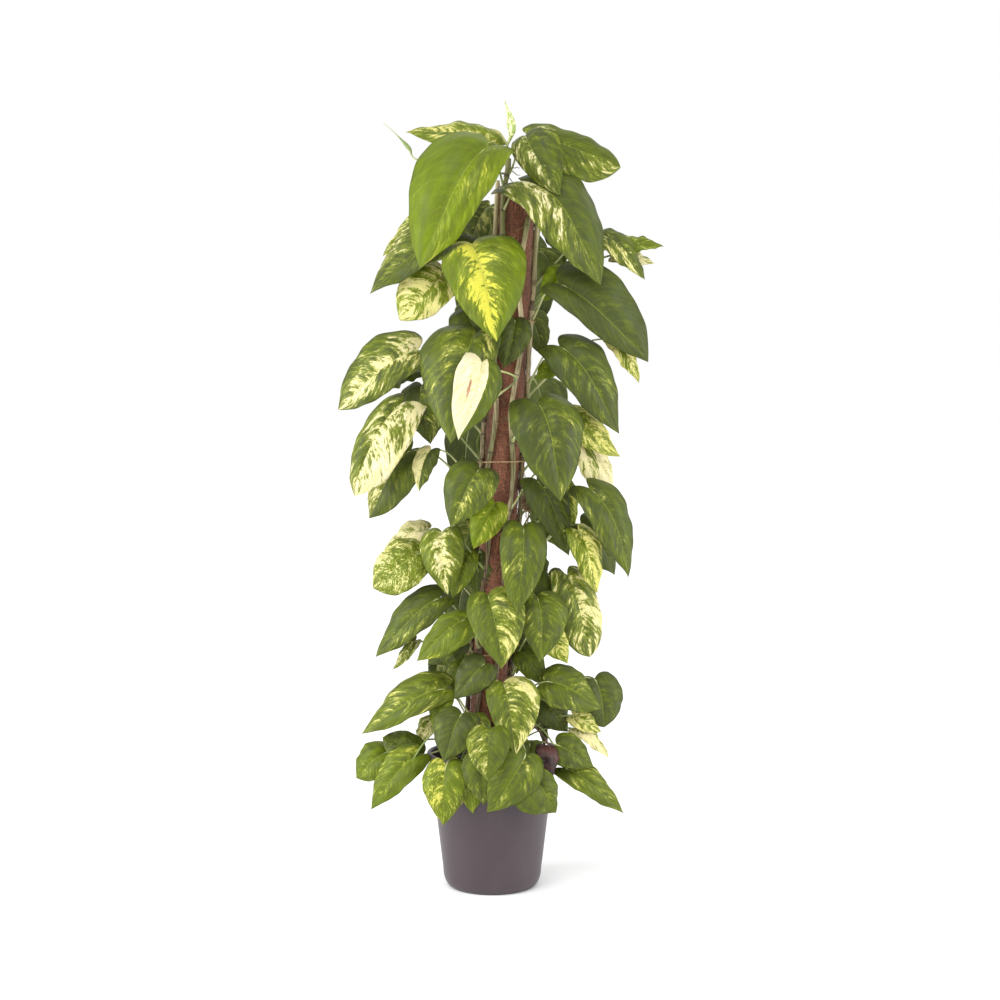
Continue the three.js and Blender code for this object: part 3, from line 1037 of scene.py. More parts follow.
@dataclass
class Pole:
    """The coir pole, which leans a little to the right as it rises. Sizes in millimetres."""

    radius: float = 34.0
    core_radius: float = 12.0
    foot: float = 30.0
    top: float = 1345.0
    foot_x: float = -27.0
    top_x: float = 50.0
    stand_out: float = 12.0
    rows: int = 150
    sides: int = 72
    hairs: int = 1500

    def centre(self, z: float) -> Vector:
        """The point of the pole's axis at a height."""
        share = (z - self.foot) / (self.top - self.foot)
        return Vector((self.foot_x + (self.top_x - self.foot_x) * share, 0.0, z))

    def around(self, z: float, angle: float, reach: float) -> Vector:
        """A point round the pole, at degrees from the front and a distance from its axis."""
        a = math.radians(angle)
        return self.centre(z) + Vector((reach * math.sin(a), -reach * math.cos(a), 0.0))

    def build_core(self, looks: Palette) -> bpy.types.Object:
        """Makes the stake: a round bar with a chamfered top.

        Args:
            looks: The materials.

        Returns:
            The piece.
        """
        end = self.top + self.stand_out
        path = [self.centre(z) * MM for z in (self.foot, 400, 800, 1200, end - 2, end)]
        radii = [self.core_radius * MM] * (len(path) - 1) + [(self.core_radius - 2) * MM]
        bm = bmesh.new()
        sweep(bm, path, radii, 24)
        return new_piece("pole_stake", bm, [looks.stake], ["pole_core"])

    def build_sleeve(self, looks: Palette) -> bpy.types.Object:
        """Makes the coir wrap: a lumpy tube with rounded ends round the stake.

        Args:
            looks: The materials.

        Returns:
            The piece.
        """
        rise = (self.top - self.foot) / self.rows
        wall = [(self.radius, self.foot + rise * i) for i in range(self.rows)]
        ends = [(31.0, self.top - 1.5), (24.0, self.top), (self.core_radius + 1, self.top - 1)]
        bm = bmesh.new()
        section = [(self.core_radius + 1, self.foot), *wall, *ends]
        spin_round(bm, section, self.sides, closed=True)
        for v in bm.verts:
            r = v.co.xy.length / MM
            z = v.co.z / MM
            if r > self.core_radius + 3:
                lumps = noise.fractal(Vector((v.co.x * 26, v.co.y * 26, v.co.z * 11)), 1.0, 2.0, 3)
                ridges = noise.noise(Vector((v.co.x * 150, v.co.y * 150, v.co.z * 40)))
                folds = math.sin(z / 14 + 2.2 * lumps) * 0.35
                r += lumps * 1.5 + ridges * 0.8 + folds
            at = Vector((v.co.x, v.co.y, 0.0)).normalized() * r
            v.co = (self.centre(z) + at) * MM
        return new_piece("coir_wrap", bm, [looks.coir], ["coir_sleeve"])

    def build_hairs(self, looks: Palette) -> bpy.types.Object:
        """Lays loose coir hairs over the wrap, which curl away from it.

        Args:
            looks: The materials.

        Returns:
            The piece.
        """
        rng = random.Random(23)
        paths = []
        for _ in range(self.hairs):
            z = rng.uniform(self.foot + 215, self.top - 4)
            angle = rng.uniform(0, 360)
            rise = rng.gauss(0, 16)
            swing = rng.gauss(0, 26)
            lift = abs(rng.gauss(0, 1.6))
            path = []
            for i in range(6):
                u = i / 5
                bow = math.sin(math.pi * u) * lift + 0.6
                bend = math.sin(math.pi * u) * rng.gauss(0, 2.5)
                height = min(self.top - 2, z + rise * u + bend)
                path.append(self.around(height, angle + swing * u + bend, self.radius + bow) * MM)
            paths.append(path)
        return strands("coir_hairs", paths, 0.28 * MM, looks.hair)


@dataclass(frozen=True)
class Vine:
    """One climbing stem: where it stands round the pole, in degrees from the front, and its top."""

    name: str
    angle: float
    top: float


@dataclass
class Stems:
    """The climbing stems, their aerial roots and the ties that hold them. Sizes in millimetres."""

    pole: Pole
    foot: float = 240.0
    radius: float = 4.6
    clear: float = 1.2
    sway: float = 9.0
    sway_pitch: float = 260.0
    step: float = 8.0
    knot: Point = (68, -36, 748)
    ply_radius: float = 0.75
    ply_turns: int = 46
    vines: tuple[Vine, ...] = (
        Vine("vine_a", -35, 1400),
        Vine("vine_b", 25, 1290),
        Vine("vine_c", 85, 1415),
        Vine("vine_d", 150, 1180),
        Vine("vine_e", 215, 1310),
        Vine("vine_f", 272, 1362),
    )
    ties: tuple[float, ...] = (455, 825, 1094)
    joints: dict[str, list[float]] = field(default_factory=dict)

    @property
    def reach(self) -> float:
        """How far a stem's middle is from the pole's axis."""
        return self.pole.radius + self.radius + self.clear

    def point(self, vine: Vine, z: float) -> Vector:
        """Where a stem is at a height."""
        phase = TURN * z / self.sway_pitch + math.radians(vine.angle * 3)
        return self.pole.around(z, vine.angle + self.sway * math.sin(phase), self.reach)

    def nearest(self, base: Vector, height: float) -> Vine:
        """The stem nearest to a leaf, among those that reach that height."""
        tall = [v for v in self.vines if v.top > height + 10]
        return min(tall, key=lambda v: (self.point(v, height) - base).xy.length)

    def add_joints(self, vine: Vine, rng: random.Random) -> list[float]:
        """Adds bare joints to a stem where its leaves leave room for them.

        Args:
            vine: The stem.
            rng: The source of its chances.

        Returns:
            The heights of all its joints.
        """
        joints = self.joints.setdefault(vine.name, [])
        z = self.foot + rng.uniform(20, 60)
        while z < vine.top:
            if all(abs(z - j) > 32 for j in joints):
                joints.append(z)
            z += rng.uniform(55, 85)
        return joints

    def build(self, looks: Palette) -> list[bpy.types.Object]:
        """Sweeps each stem, swollen at its joints and worn between them.

        Args:
            looks: The materials.

        Returns:
            The pieces.
        """
        made = []
        for k, vine in enumerate(self.vines):
            rng = random.Random(k + 40)
            joints = self.add_joints(vine, rng)
            low, rise = self.foot - self.step, vine.top - self.foot + self.step
            steps = int((vine.top - self.foot) / self.step)
            heights = [low + rise * i / steps for i in range(steps + 1)]
            near = [max(bell(h - j, 5.0) for j in joints) for h in heights]
            path, radii = [], []
            for h, n in zip(heights, near):
                sideways = noise.noise(Vector((h / 60, k, 0)))
                outward = noise.noise(Vector((h / 60, k, 9)))
                path.append((self.point(vine, h) + Vector((sideways, outward, 0)) * 1.2) * MM)
                swell = 1.1 * n + 0.35 * noise.noise(Vector((h / 25, k, 4)))
                radii.append((self.radius + swell) * MM)
            radii[-1] *= 0.75
            bm = bmesh.new()
            layer = bm.verts.layers.float_vector.new("joint")
            rings = sweep(bm, path, radii, 12)
            for ring, h, n in zip(rings, heights, near):
                age = 1 - 0.6 * (h - self.foot) / (vine.top - self.foot)
                for v in ring:
                    v[layer] = (n, age, rng.random() * 0.1 + k / 6)
            name = f"stem_{vine.name[-1]}"
            made.append(new_piece(name, bm, [looks.stem], [vine.name]))
        return made

    def build_roots(self, looks: Palette) -> bpy.types.Object:
        """Makes the aerial roots: each leaves a joint, turns to the pole and grips it.

        Args:
            looks: The materials.

        Returns:
            The piece.
        """
        rng = random.Random(5)
        paths = []
        for vine in self.vines:
            for z in self.joints[vine.name]:
                for _ in range(rng.choice((1, 2, 2, 3))):
                    start = self.point(vine, z)
                    centre = self.pole.centre(z)
                    turn = rng.choice((-1, 1)) * rng.uniform(12, 42)
                    drop = rng.uniform(-26, 4)
                    facing = math.degrees(math.atan2(start.x - centre.x, -start.y))
                    path = [start]
                    for i in range(1, 8):
                        u = i / 7
                        closing = (self.reach - self.pole.radius) * (1 - u) ** 2
                        height = z + drop * u + rng.gauss(0, 1.2)
                        reach = self.pole.radius + 1.4 + closing
                        path.append(self.pole.around(height, facing + turn * u, reach))
                    paths.append([p * MM for p in path])
        return strands("aerial_roots", paths, 0.9 * MM, looks.root)

    def build_tangle(self, looks: Palette) -> bpy.types.Object:
        """Makes the dry brown roots that hang loose beside the pole, with a knot half way down.

        Args:
            looks: The materials.

        Returns:
            The piece.
        """
        rng = random.Random(23)
        knot = Vector(self.knot)
        paths = []
        for _ in range(30):
            a, path = rng.uniform(0, TURN), []
            for _ in range(9):
                a += rng.uniform(0.4, 1.1)
                r = rng.uniform(3, 14)
                around = Vector((r * math.cos(a), rng.uniform(-8, 8), 1.4 * r * math.sin(a)))
                path.append((knot + around) * MM)
            paths.append(path)
        for _ in range(5):
            top = Vector((rng.uniform(52, 60), -34, rng.uniform(800, 835)))
            low = knot + Vector((rng.uniform(-6, 18), rng.uniform(-6, 6), rng.uniform(-70, -36)))
            path = smooth_path([top, knot + Vector((rng.uniform(-8, 8), 0, 10)), low], 16)
            shaken = [p + Vector((rng.gauss(0, 0.8), rng.gauss(0, 0.8), 0)) for p in path]
            paths.append([p * MM for p in shaken])
        return strands("dry_roots", paths, 0.8 * MM, looks.root)

    def build_ties(self, looks: Palette) -> list[bpy.types.Object]:
        """Winds the two-ply twine loops, which pull in between the stems.

        Args:
            looks: The materials.

        Returns:
            The pieces.
        """
        made = []
        steps = self.ply_turns * 8
        for index, height in enumerate(self.ties, 1):
            bm = bmesh.new()
            for ply in (0.0, math.pi):
                path = []
                for i in range(steps + 2):
                    a = TURN * (i % steps) / steps
                    angle = math.degrees(a)
                    gaps = [(angle - v.angle - 180) % 360 - 180 for v in self.vines]
                    near = max(bell(gap, 20.0) for gap in gaps)
                    lay = self.ply_turns * a + ply
                    reach = self.pole.radius + 4.5 + 8.2 * near + 0.7 * math.cos(lay)
                    dip = 1.5 * math.sin(a + index - 1)
                    at = self.pole.around(height + dip, angle, reach)
                    path.append((at + Vector((0, 0, 0.7 * math.sin(lay)))) * MM)
                sweep(bm, path, [self.ply_radius * MM] * len(path), 5)
            name, node = f"twine_tie_{index}", f"tie_{index}"
            made.append(new_piece(name, bm, [looks.twine], [node]))
        return made


# ---------------------------------------------------------------- leaves


@dataclass(frozen=True)
class Leaf:
    """One leaf as it hangs. Lengths in millimetres and angles in degrees.

    Args:
        base: Where its stalk meets the blade.
        tip: Where its tip is.
        width: Its greatest width.
        faces: Which way its upper side faces, round from the front.
        tilt: Which way its upper side faces, above level.
        light: How light its green is, from 0 to 1: partly the leaf's own colour and partly
        painted light shining through the leaf.
        cream: How much of its left and of its right half is cream, seen from above, tip down.
        warm: How yellow the cream is.
        middle: How much the cream keeps to the middle of the blade.
        fleck: How finely the cream is broken up.
        start: The height on the stem where the stalk starts.
        via: A point that the stalk passes.
        hump: How far the stalk is lifted, to pass the rim.
        lean: How much wider its left half is than its right one.
        blunt: How rounded its tip is.
        parting: Where across the blade the left half's marbling meets the right half's.
        arch: How far its midrib bows out, as a share of its length.
        cup: How far its edges drop, as a share of its width.
        twist: How far its tip is turned about its midrib.
        wave: How deep the waves of its edge are.
    """

    base: Point
    tip: Point
    width: float
    faces: float
    tilt: float
    light: float = 0.3
    cream: tuple[float, float] = (0.1, 0.1)
    warm: float = 0.35
    middle: float = 0.0
    fleck: float = 0.3
    start: float | None = None
    via: Point | None = None
    hump: float = 0.0
    lean: float = 0.0
    blunt: float = 0.0
    parting: float = 0.0
    arch: float = 0.13
    cup: float = 0.12
    twist: float = 0.0
    wave: float = 3.0


class Blade:
    """The shape of one leaf's blade."""

    VEINS = 9
    LOBE = 0.12
    THICK = 0.7
    QUILT = 0.013
    GROOVE = 0.016

    def __init__(self, leaf: Leaf, seed: int) -> None:
        """Works out the leaf's own axes.

        Args:
            leaf: The leaf.
            seed: What makes its waves and its pattern its own.
        """
        self.leaf, self.seed = leaf, seed
        self.base = Vector(leaf.base)
        self.along = Vector(leaf.tip) - self.base
        self.length = self.along.length
        self.along.normalize()
        a, e = math.radians(leaf.faces), math.radians(leaf.tilt)
        facing = Vector((math.sin(a) * math.cos(e), -math.cos(a) * math.cos(e), math.sin(e)))
        self.across = self.along.cross(facing).normalized()
        self.out = self.across.cross(self.along)
        rng = random.Random(seed)
        self.phase = [rng.uniform(0, TURN) for _ in range(4)]
        self.skew = rng.uniform(-0.05, 0.05)
        self.tip_turn = rng.uniform(-0.35, 0.35)

    def fullness(self, s: float) -> float:
        """The half-width as a share of the widest.

        Args:
            s: The place along the blade, from the stalk (0) to the tip (1).

        Returns:
            The share.
        """
        shoulder = 0.68 + 0.34 * math.sin(math.pi / 2 * min(1.0, s / 0.32))
        taper = max(0.0, 1 - s ** (2.5 + 3 * self.leaf.blunt)) ** 0.95
        drip = 1 - 0.35 * (1 - self.leaf.blunt) * s**7
        return max(0.004, shoulder * taper * drip)

    @staticmethod
    def vein_line(s: float, t: float) -> float:
        """Which side vein a point lies on: the same number all along one vein."""
        return s - 0.30 * min(1.0, 0.35 + 1.6 * s) * abs(t) ** 1.25

    def point(self, s: float, t: float) -> Vector:
        """A point of the upper side.

        Args:
            s: The place along the blade, from the stalk (0) to the tip (1).
            t: The place across it, from its right edge (-1) to its left one (1).

        Returns:
            The point, in millimetres.
        """
        leaf, edge, full = self.leaf, abs(t), self.fullness(s)
        lobe = self.LOBE * math.sin(math.pi * 0.75 * edge**0.8) * (1 - s) ** 3
        u = s - lobe
        half = leaf.width * full / 2 * (1 + leaf.lean * (1 if t > 0 else -1))
        rise = leaf.arch * self.length * 6.75 * u * (1 - u) ** 2
        rise -= leaf.cup * leaf.width * edge**2 * full
        fold = 0.16 * edge + 0.08 * math.sin(math.pi * min(1.0, edge * 1.15))
        rise += half * fold * (1 - 0.6 * s)
        waves = math.sin(TURN * 2.3 * s + self.phase[0 if t > 0 else 1])
        waves += 0.5 * math.sin(TURN * 5.1 * s + self.phase[2 if t > 0 else 3])
        rise += leaf.wave * waves * edge**2 * min(1.0, full * 1.6)
        rise += self.relief(s, t, full)
        twist = math.radians(leaf.twist) * (s - 0.4)
        side = self.across * math.cos(twist) + self.out * math.sin(twist)
        curl = max(0.0, s - 0.82) ** 2 * self.length
        slide = t * half + self.skew * self.length * 2 * s * (1 - s) + curl * 3.0 * self.tip_turn
        ahead = (u if u > 0 else 0.75 * u) * self.length
        return self.base + self.along * ahead + side * slide + self.out * (rise - curl * 1.1)

    def relief(self, s: float, t: float, full: float) -> float:
        """The height of the quilting between the side veins, and of the groove over the midrib.

        Args:
            s: The place along the blade, from 0 to 1.
            t: The place across it, from -1 to 1.
            full: How full the blade is at that place.

        Returns:
            The height, in millimetres.
        """
        edge, width = abs(t), self.leaf.width
        phase = math.pi * self.VEINS * self.vein_line(s, t)
        phase += 0.5 * math.sin(7 * s + self.phase[0]) + 0.35 * math.sin(5 * t + self.phase[1])
        swell = math.sin(math.pi * min(1.0, edge * 1.02 + 0.04)) ** 0.7
        quilt = abs(math.sin(phase)) ** 0.7 * swell * min(1.0, 1.4 * full)
        groove = bell(edge, 0.08) * (1 - s)
        return self.QUILT * width * quilt - self.GROOVE * width * groove


@dataclass
class Foliage:
    """Builds every leaf with its stalk, and keeps the small ones clear of their neighbours."""

    stems: Stems
    looks: Palette
    across: int = 22
    along: int = 54
    stalk_radius: float = 1.9
    stalk_steps: int = 14
    stalk_sides: int = 7
    rib_steps: int = 8
    backward: tuple[int, ...] = (0, 6, -6, 12, -12, 18, -18, 26, 34, -26, 42, 52)
    sideways: tuple[tuple[int, int], ...] = (
        (0, 0),
        (8, 0),
        (-8, 0),
        (0, 8),
        (0, -8),
        (14, 10),
        (-14, -10),
    )
    placed: list[BVHTree] = field(default_factory=list)

    def foot(self, leaf: Leaf, base: Vector) -> tuple[Vector, Vector]:
        """Where a leaf's stalk leaves its stem, which gets a joint there.

        Args:
            leaf: The leaf.
            base: Where its stalk meets the blade.

        Returns:
            The point inside the stem, and the level direction that the stalk sets out in.
        """
        reach = (base - self.stems.pole.centre(base.z)).xy.length
        droop = min(110.0, 20 + 0.45 * reach)
        highest = max(v.top for v in self.stems.vines) - 15
        height = leaf.start or min(highest, max(260.0, base.z - droop))
        vine = self.stems.nearest(base, height)
        centre = self.stems.point(vine, height)
        away = base - centre
        away.z = 0.0
        away.normalize()
        self.stems.joints.setdefault(vine.name, []).append(height)
        return centre + away * (self.stems.radius * 0.4), away

    def stalk_path(self, blade: Blade) -> list[Vector]:
        """The points along a leaf's stalk, from inside its stem to the blade.

        Args:
            blade: The leaf's blade.

        Returns:
            The points, in millimetres.
        """
        leaf, base = blade.leaf, blade.base
        start, away = self.foot(leaf, base)
        join = blade.point(0.05, 0.0) - blade.out * 0.9
        span = (base - start).length
        if leaf.via:
            return smooth_path([start, Vector(leaf.via), join], self.stalk_steps)
        lift = Vector((0, 0, leaf.hump))
        arrive = ((base - start).normalized() + blade.along).normalized()
        leave = away * 0.7 + Vector((0, 0, 0.7))
        first = start + leave * span * 0.45 + lift
        second = base - arrive * span * 0.35 + lift
        return bezier(start, first, second, join, self.stalk_steps)

    def add_blade(self, bm: bmesh.types.BMesh, blade: Blade) -> None:
        """Adds a blade with its two sides, and the attributes that its marbling follows.

        Args:
            bm: The mesh that it is added to, which holds nothing else yet.
            blade: The blade.
        """
        leaf = blade.leaf
        layers = [bm.verts.layers.float_vector.new(n) for n in ("grain", "marble", "tint", "lay")]
        uv = bm.loops.layers.uv.new("leaf")
        bmesh.ops.create_grid(bm, x_segments=self.across, y_segments=self.along, size=1.0)
        places: dict[bmesh.types.BMVert, tuple[float, float]] = {}
        for v in bm.verts:
            s, t = ((v.co.y + 1) / 2) ** 1.15, v.co.x
            places[v] = (s, t)
            v[layers[0]] = (blade.vein_line(s, t), t, blade.seed * 3.7)
            v[layers[3]] = (leaf.parting, s, 0.0)
            # The lightness, partly painted light shining through the leaf, goes with the cream
            # shares.
            v[layers[1]] = (*leaf.cream, leaf.light)
            v[layers[2]] = (leaf.warm, leaf.middle, leaf.fleck)
            v.co = blade.point(s, t) * MM
        for face in bm.faces:
            for loop in face.loops:
                s, t = places[loop.vert]
                loop[uv].uv = (t / 2 + 0.5, s)
        bm.normal_update()
        facing = sum((f.normal * f.calc_area() for f in bm.faces), Vector())
        if facing.dot(blade.out) < 0:
            bmesh.ops.reverse_faces(bm, faces=bm.faces)
            bm.normal_update()
        top = set(bm.faces)
        bmesh.ops.solidify(bm, geom=list(bm.faces), thickness=blade.THICK * MM)
        for face in bm.faces:
            face.material_index = 0 if face in top else 1

    def settle(self, leaf: Leaf, seed: int) -> Leaf:
        """Moves a small leaf to the first place nearby where its blade cuts no other.

        Args:
            leaf: The leaf.
            seed: What makes its waves its own.

        Returns:
            The moved leaf, or the leaf as it was if no place nearby is clear.
        """
        a = math.radians(leaf.faces)
        for side, up in self.sideways:
            for back in self.backward:
                shift = Vector((-math.sin(a) * back + side, math.cos(a) * back, up))
                base, tip = Vector(leaf.base) + shift, Vector(leaf.tip) + shift
                moved = replace(leaf, base=tuple(base), tip=tuple(tip))
                bm = bmesh.new()
                self.add_blade(bm, Blade(moved, seed))
                tree = BVHTree.FromBMesh(bm, epsilon=0.0)
                bm.free()
                if not any(tree.overlap(other) for other in self.placed):
                    return moved
        LOG.warning("a leaf at %s found no clear place", leaf.base)
        return leaf

    def build_leaf(
        self, name: str, leaf: Leaf, seed: int, slot: str = "leaf", node: str | None = None
    ) -> bpy.types.Object:
        """Makes a leaf: its blade, its stalk, and the rib that carries on under the blade.

        Args:
            name: The piece's name.
            leaf: The leaf.
            seed: Its own seed.
            slot: Not used.
            node: The CAD node that it stands for.

        Returns:
            The piece.
        """
        blade = Blade(leaf, seed)
        bm = bmesh.new()
        self.add_blade(bm, blade)
        self.placed.append(BVHTree.FromBMesh(bm, epsilon=0.0))
        path = self.stalk_path(blade)
        last = len(path) - 1
        r = self.stalk_radius * (0.75 + 0.25 * min(1.0, leaf.width / 90))
        radii = []
        for i in range(last + 1):
            sheath, knee = 0.9 * math.exp(-i / 1.3), 0.25 * bell(i - last + 1, 1.2)
            radii.append(r * (1 + sheath + knee))
        for i in range(1, self.rib_steps + 1):
            s = 0.05 + 0.78 * i / self.rib_steps
            depth = blade.THICK + 0.35 * r * (1 - i / 10)
            path.append(blade.point(s, 0.0) - blade.out * depth)
            radii.append(r * (0.62 - 0.055 * i))
        sweep(bm, [p * MM for p in path], [x * MM for x in radii], self.stalk_sides, 2)
        materials = [self.looks.upper, self.looks.under, self.looks.stalk]
        return new_piece(name, bm, materials, [node] if node else [])


# The leaves that stand for CAD nodes, in the order of their nodes: 39 in front, then 6 behind.
MAIN_LEAVES: tuple[Leaf, ...] = (
    Leaf(
        (10, 8, 1432), (-165, 22, 1463), 104, 0, 50, 0.50, (0.42, 0.42), 0.5, start=1380, arch=0.07,
    ),
    Leaf(
        (70, -15, 1446), (246, -20, 1390), 100, 10, 25, 0.28, (0.32, 0.14), 0.2, lean=0.22,
        blunt=1.3, arch=0.06,
    ),
    Leaf(
        (62, -50, 1441), (122, -120, 1321), 96, -25, 30, 0.22, (0.34, 0.24), 0.1, start=1368,
        lean=-0.2,
    ),
    Leaf(
        (-8, -90, 1415), (-138, -125, 1191), 164, -20, 20, 0.62, (0.10, 0.26), 0.9, lean=0.28,
        blunt=0.25,
    ),
    Leaf(
        (57, -70, 1354), (210, -120, 1164), 168, 28, 36, 0.20, (0.38, 0.06), 0.1, 0.1, lean=-0.1,
        blunt=0.2, arch=0.16,
    ),
    Leaf((236, -5, 1239), (328, -5, 1240), 48, 10, 40, 0.45, (0.30, 0.34), 0.6, arch=0.05),
    Leaf((-54, -50, 1257), (-235, -40, 1150), 118, -20, 30, 0.16, (0.34, 0.16), 0.2, lean=0.3),
    Leaf((-37, -110, 1234), (6, -170, 1052), 160, 0, 15, 0.55, (0.50, 0.32), 0.9, 0.60, lean=-0.12),
    Leaf(
        (-90, -25, 1183), (-176, -40, 1096), 104, -10, 10, 0.60, (0.56, 0.60), 0.45, lean=0.15,
        blunt=0.5,
    ),
    Leaf(
        (126, -60, 1164), (300, -60, 1021), 116, 10, 15, 0.10, (0.02, 0.02), lean=-0.35, blunt=0.4,
    ),
    Leaf(
        (-142, -40, 1039), (-297, -20, 926), 108, -15, 20, 0.22, (0.42, 0.44), 0.25, 0.3, lean=0.2,
        blunt=0.5,
    ),
    Leaf((-30, -90, 1070), (-80, -140, 866), 156, -20, 10, 0.22, (0.20, 0.34), 0.6, lean=0.25),
    Leaf((128, -60, 1046), (240, -70, 880), 112, 15, 20, 0.14, (0.14, 0.10), 0.5, lean=-0.05),
    Leaf(
        (-18, -166, 1013), (-62, -186, 872), 92, 15, 10, 0.30, (1.20, 0.12), 0.0, 0.0, 0.1,
        start=950, via=(44, -128, 985), parting=-0.3,
    ),
    Leaf(
        (-172, -60, 938), (-268, -60, 765), 98, -10, 15, 0.25, (0.36, 0.64), 0.15, lean=-0.3,
        blunt=0.8,
    ),
    Leaf((86, -110, 940), (130, -150, 758), 142, 15, 15, 0.15, (0.12, 0.20), 0.6),
    Leaf(
        (-155, -15, 850), (-238, -5, 715), 94, -15, 15, 0.22, (0.40, 0.12), 0.3, lean=-0.12,
        blunt=0.3,
    ),
    Leaf((-23, -110, 816), (-78, -130, 709), 104, -10, 15, 0.20, (0.08, 0.28), 0.6),
    Leaf((184, -75, 778), (266, -75, 612), 98, 30, 15, 0.18, (0.16, 0.16), via=(140, -30, 757)),
    Leaf((85, -50, 793), (142, -62, 663), 84, 15, 10, 0.12, (0.08, 0.14)),
    Leaf((171, -20, 706), (240, -5, 608), 88, 20, 15, 0.10, (0.05, 0.06)),
    Leaf((59, -100, 707), (44, -148, 546), 92, 5, 10, 0.24, (0.26, 0.10), 0.6),
    Leaf((-95, -60, 694), (-85, -80, 576), 90, -10, 10, 0.35, (0.42, 0.40), 0.2, 0.35),
    Leaf(
        (-139, -30, 652), (-229, -30, 583), 98, -10, 20, 0.45, (0.40, 0.36), 0.3, 0.0, 0.7,
        blunt=0.8,
    ),
    Leaf((144, -42, 610), (190, -52, 454), 84, 15, 15, 0.22, (0.34, 0.46), 0.3, blunt=1.4),
    Leaf((-8, -110, 580), (20, -150, 446), 112, 0, 10, 0.28, (0.14, 0.40), 0.5, lean=-0.12),
    Leaf((85, -90, 574), (92, -108, 452), 96, 10, 10, 0.26, (0.20, 0.22), 0.6, lean=-0.15),
    Leaf((-100, -30, 566), (-228, -20, 450), 80, -20, 20, 0.22, (0.18, 0.24), lean=0.1),
    Leaf((-50, -80, 530), (-144, -90, 453), 78, -15, 20, 0.42, (0.20, 0.24), 0.8, lean=-0.15),
    Leaf((21, -102, 412), (43, -152, 285), 104, 5, 15, 0.30, (0.24, 0.50), 0.4, lean=-0.22),
    Leaf((102, -60, 408), (209, -60, 354), 98, 5, 35, 0.30, (0.18, 0.22)),
    Leaf((-89, -50, 393), (-252, -40, 303), 84, -15, 30, 0.32, (0.34, 0.18), 0.5, lean=0.2),
    Leaf((-57, -105, 354), (-90, -125, 266), 92, -10, 15, 0.15, (0.06, 0.10)),
    Leaf(
        (-4, -164, 334), (-8, -178, 241), 84, 0, 10, 0.30, (0.30, 0.10), 0.4, start=276,
        via=(-14, -110, 306),
    ),
    Leaf((64, -134, 282), (-6, -160, 176), 100, 5, 10, 0.32, (0.14, 0.18), 0.5, start=290),
    Leaf((-86, -122, 260), (-90, -128, 145), 86, -10, 10, 0.50, (0.40, 0.28), 0.8, 0.0, 0.6),
    Leaf((80, -131, 238), (122, -120, 168), 96, 15, 10, 0.28, (0.08, 0.20), 0.5, lean=0.3, hump=28),
    Leaf(
        (-143, -54, 264), (-236, -42, 157), 74, -15, 20, 0.48, (0.18, 0.16), 0.8, hump=45, lean=0.1,
    ),
    Leaf((136, -50, 240), (255, -45, 152), 60, 15, 25, 0.34, (0.20, 0.24), 0.6, hump=70, lean=-0.1),
    Leaf((40, 95, 1275), (60, 190, 1110), 120, 170, 25, 0.30, (0.20, 0.10)),
    Leaf((-10, 95, 1210), (-40, 190, 1040), 110, 200, 25, 0.22, (0.14, 0.26)),
    Leaf((80, 110, 990), (110, 215, 830), 120, 165, 25, 0.35, (0.30, 0.16), 0.5),
    Leaf((-40, 85, 900), (-60, 175, 745), 100, 200, 25, 0.18, (0.10, 0.12)),
    Leaf((50, 105, 690), (70, 200, 540), 110, 170, 25, 0.30, (0.24, 0.34)),
    Leaf((-60, 100, 470), (-90, 190, 330), 100, 200, 25, 0.45, (0.16, 0.20), 0.7),
)

# The dead leaf, curled in on itself.
WITHERED = Leaf(
    (108, -94, 290), (114, -104, 228), 50, 20, 10, start=296, hump=20, arch=0.3, cup=0.7, wave=4.0
)

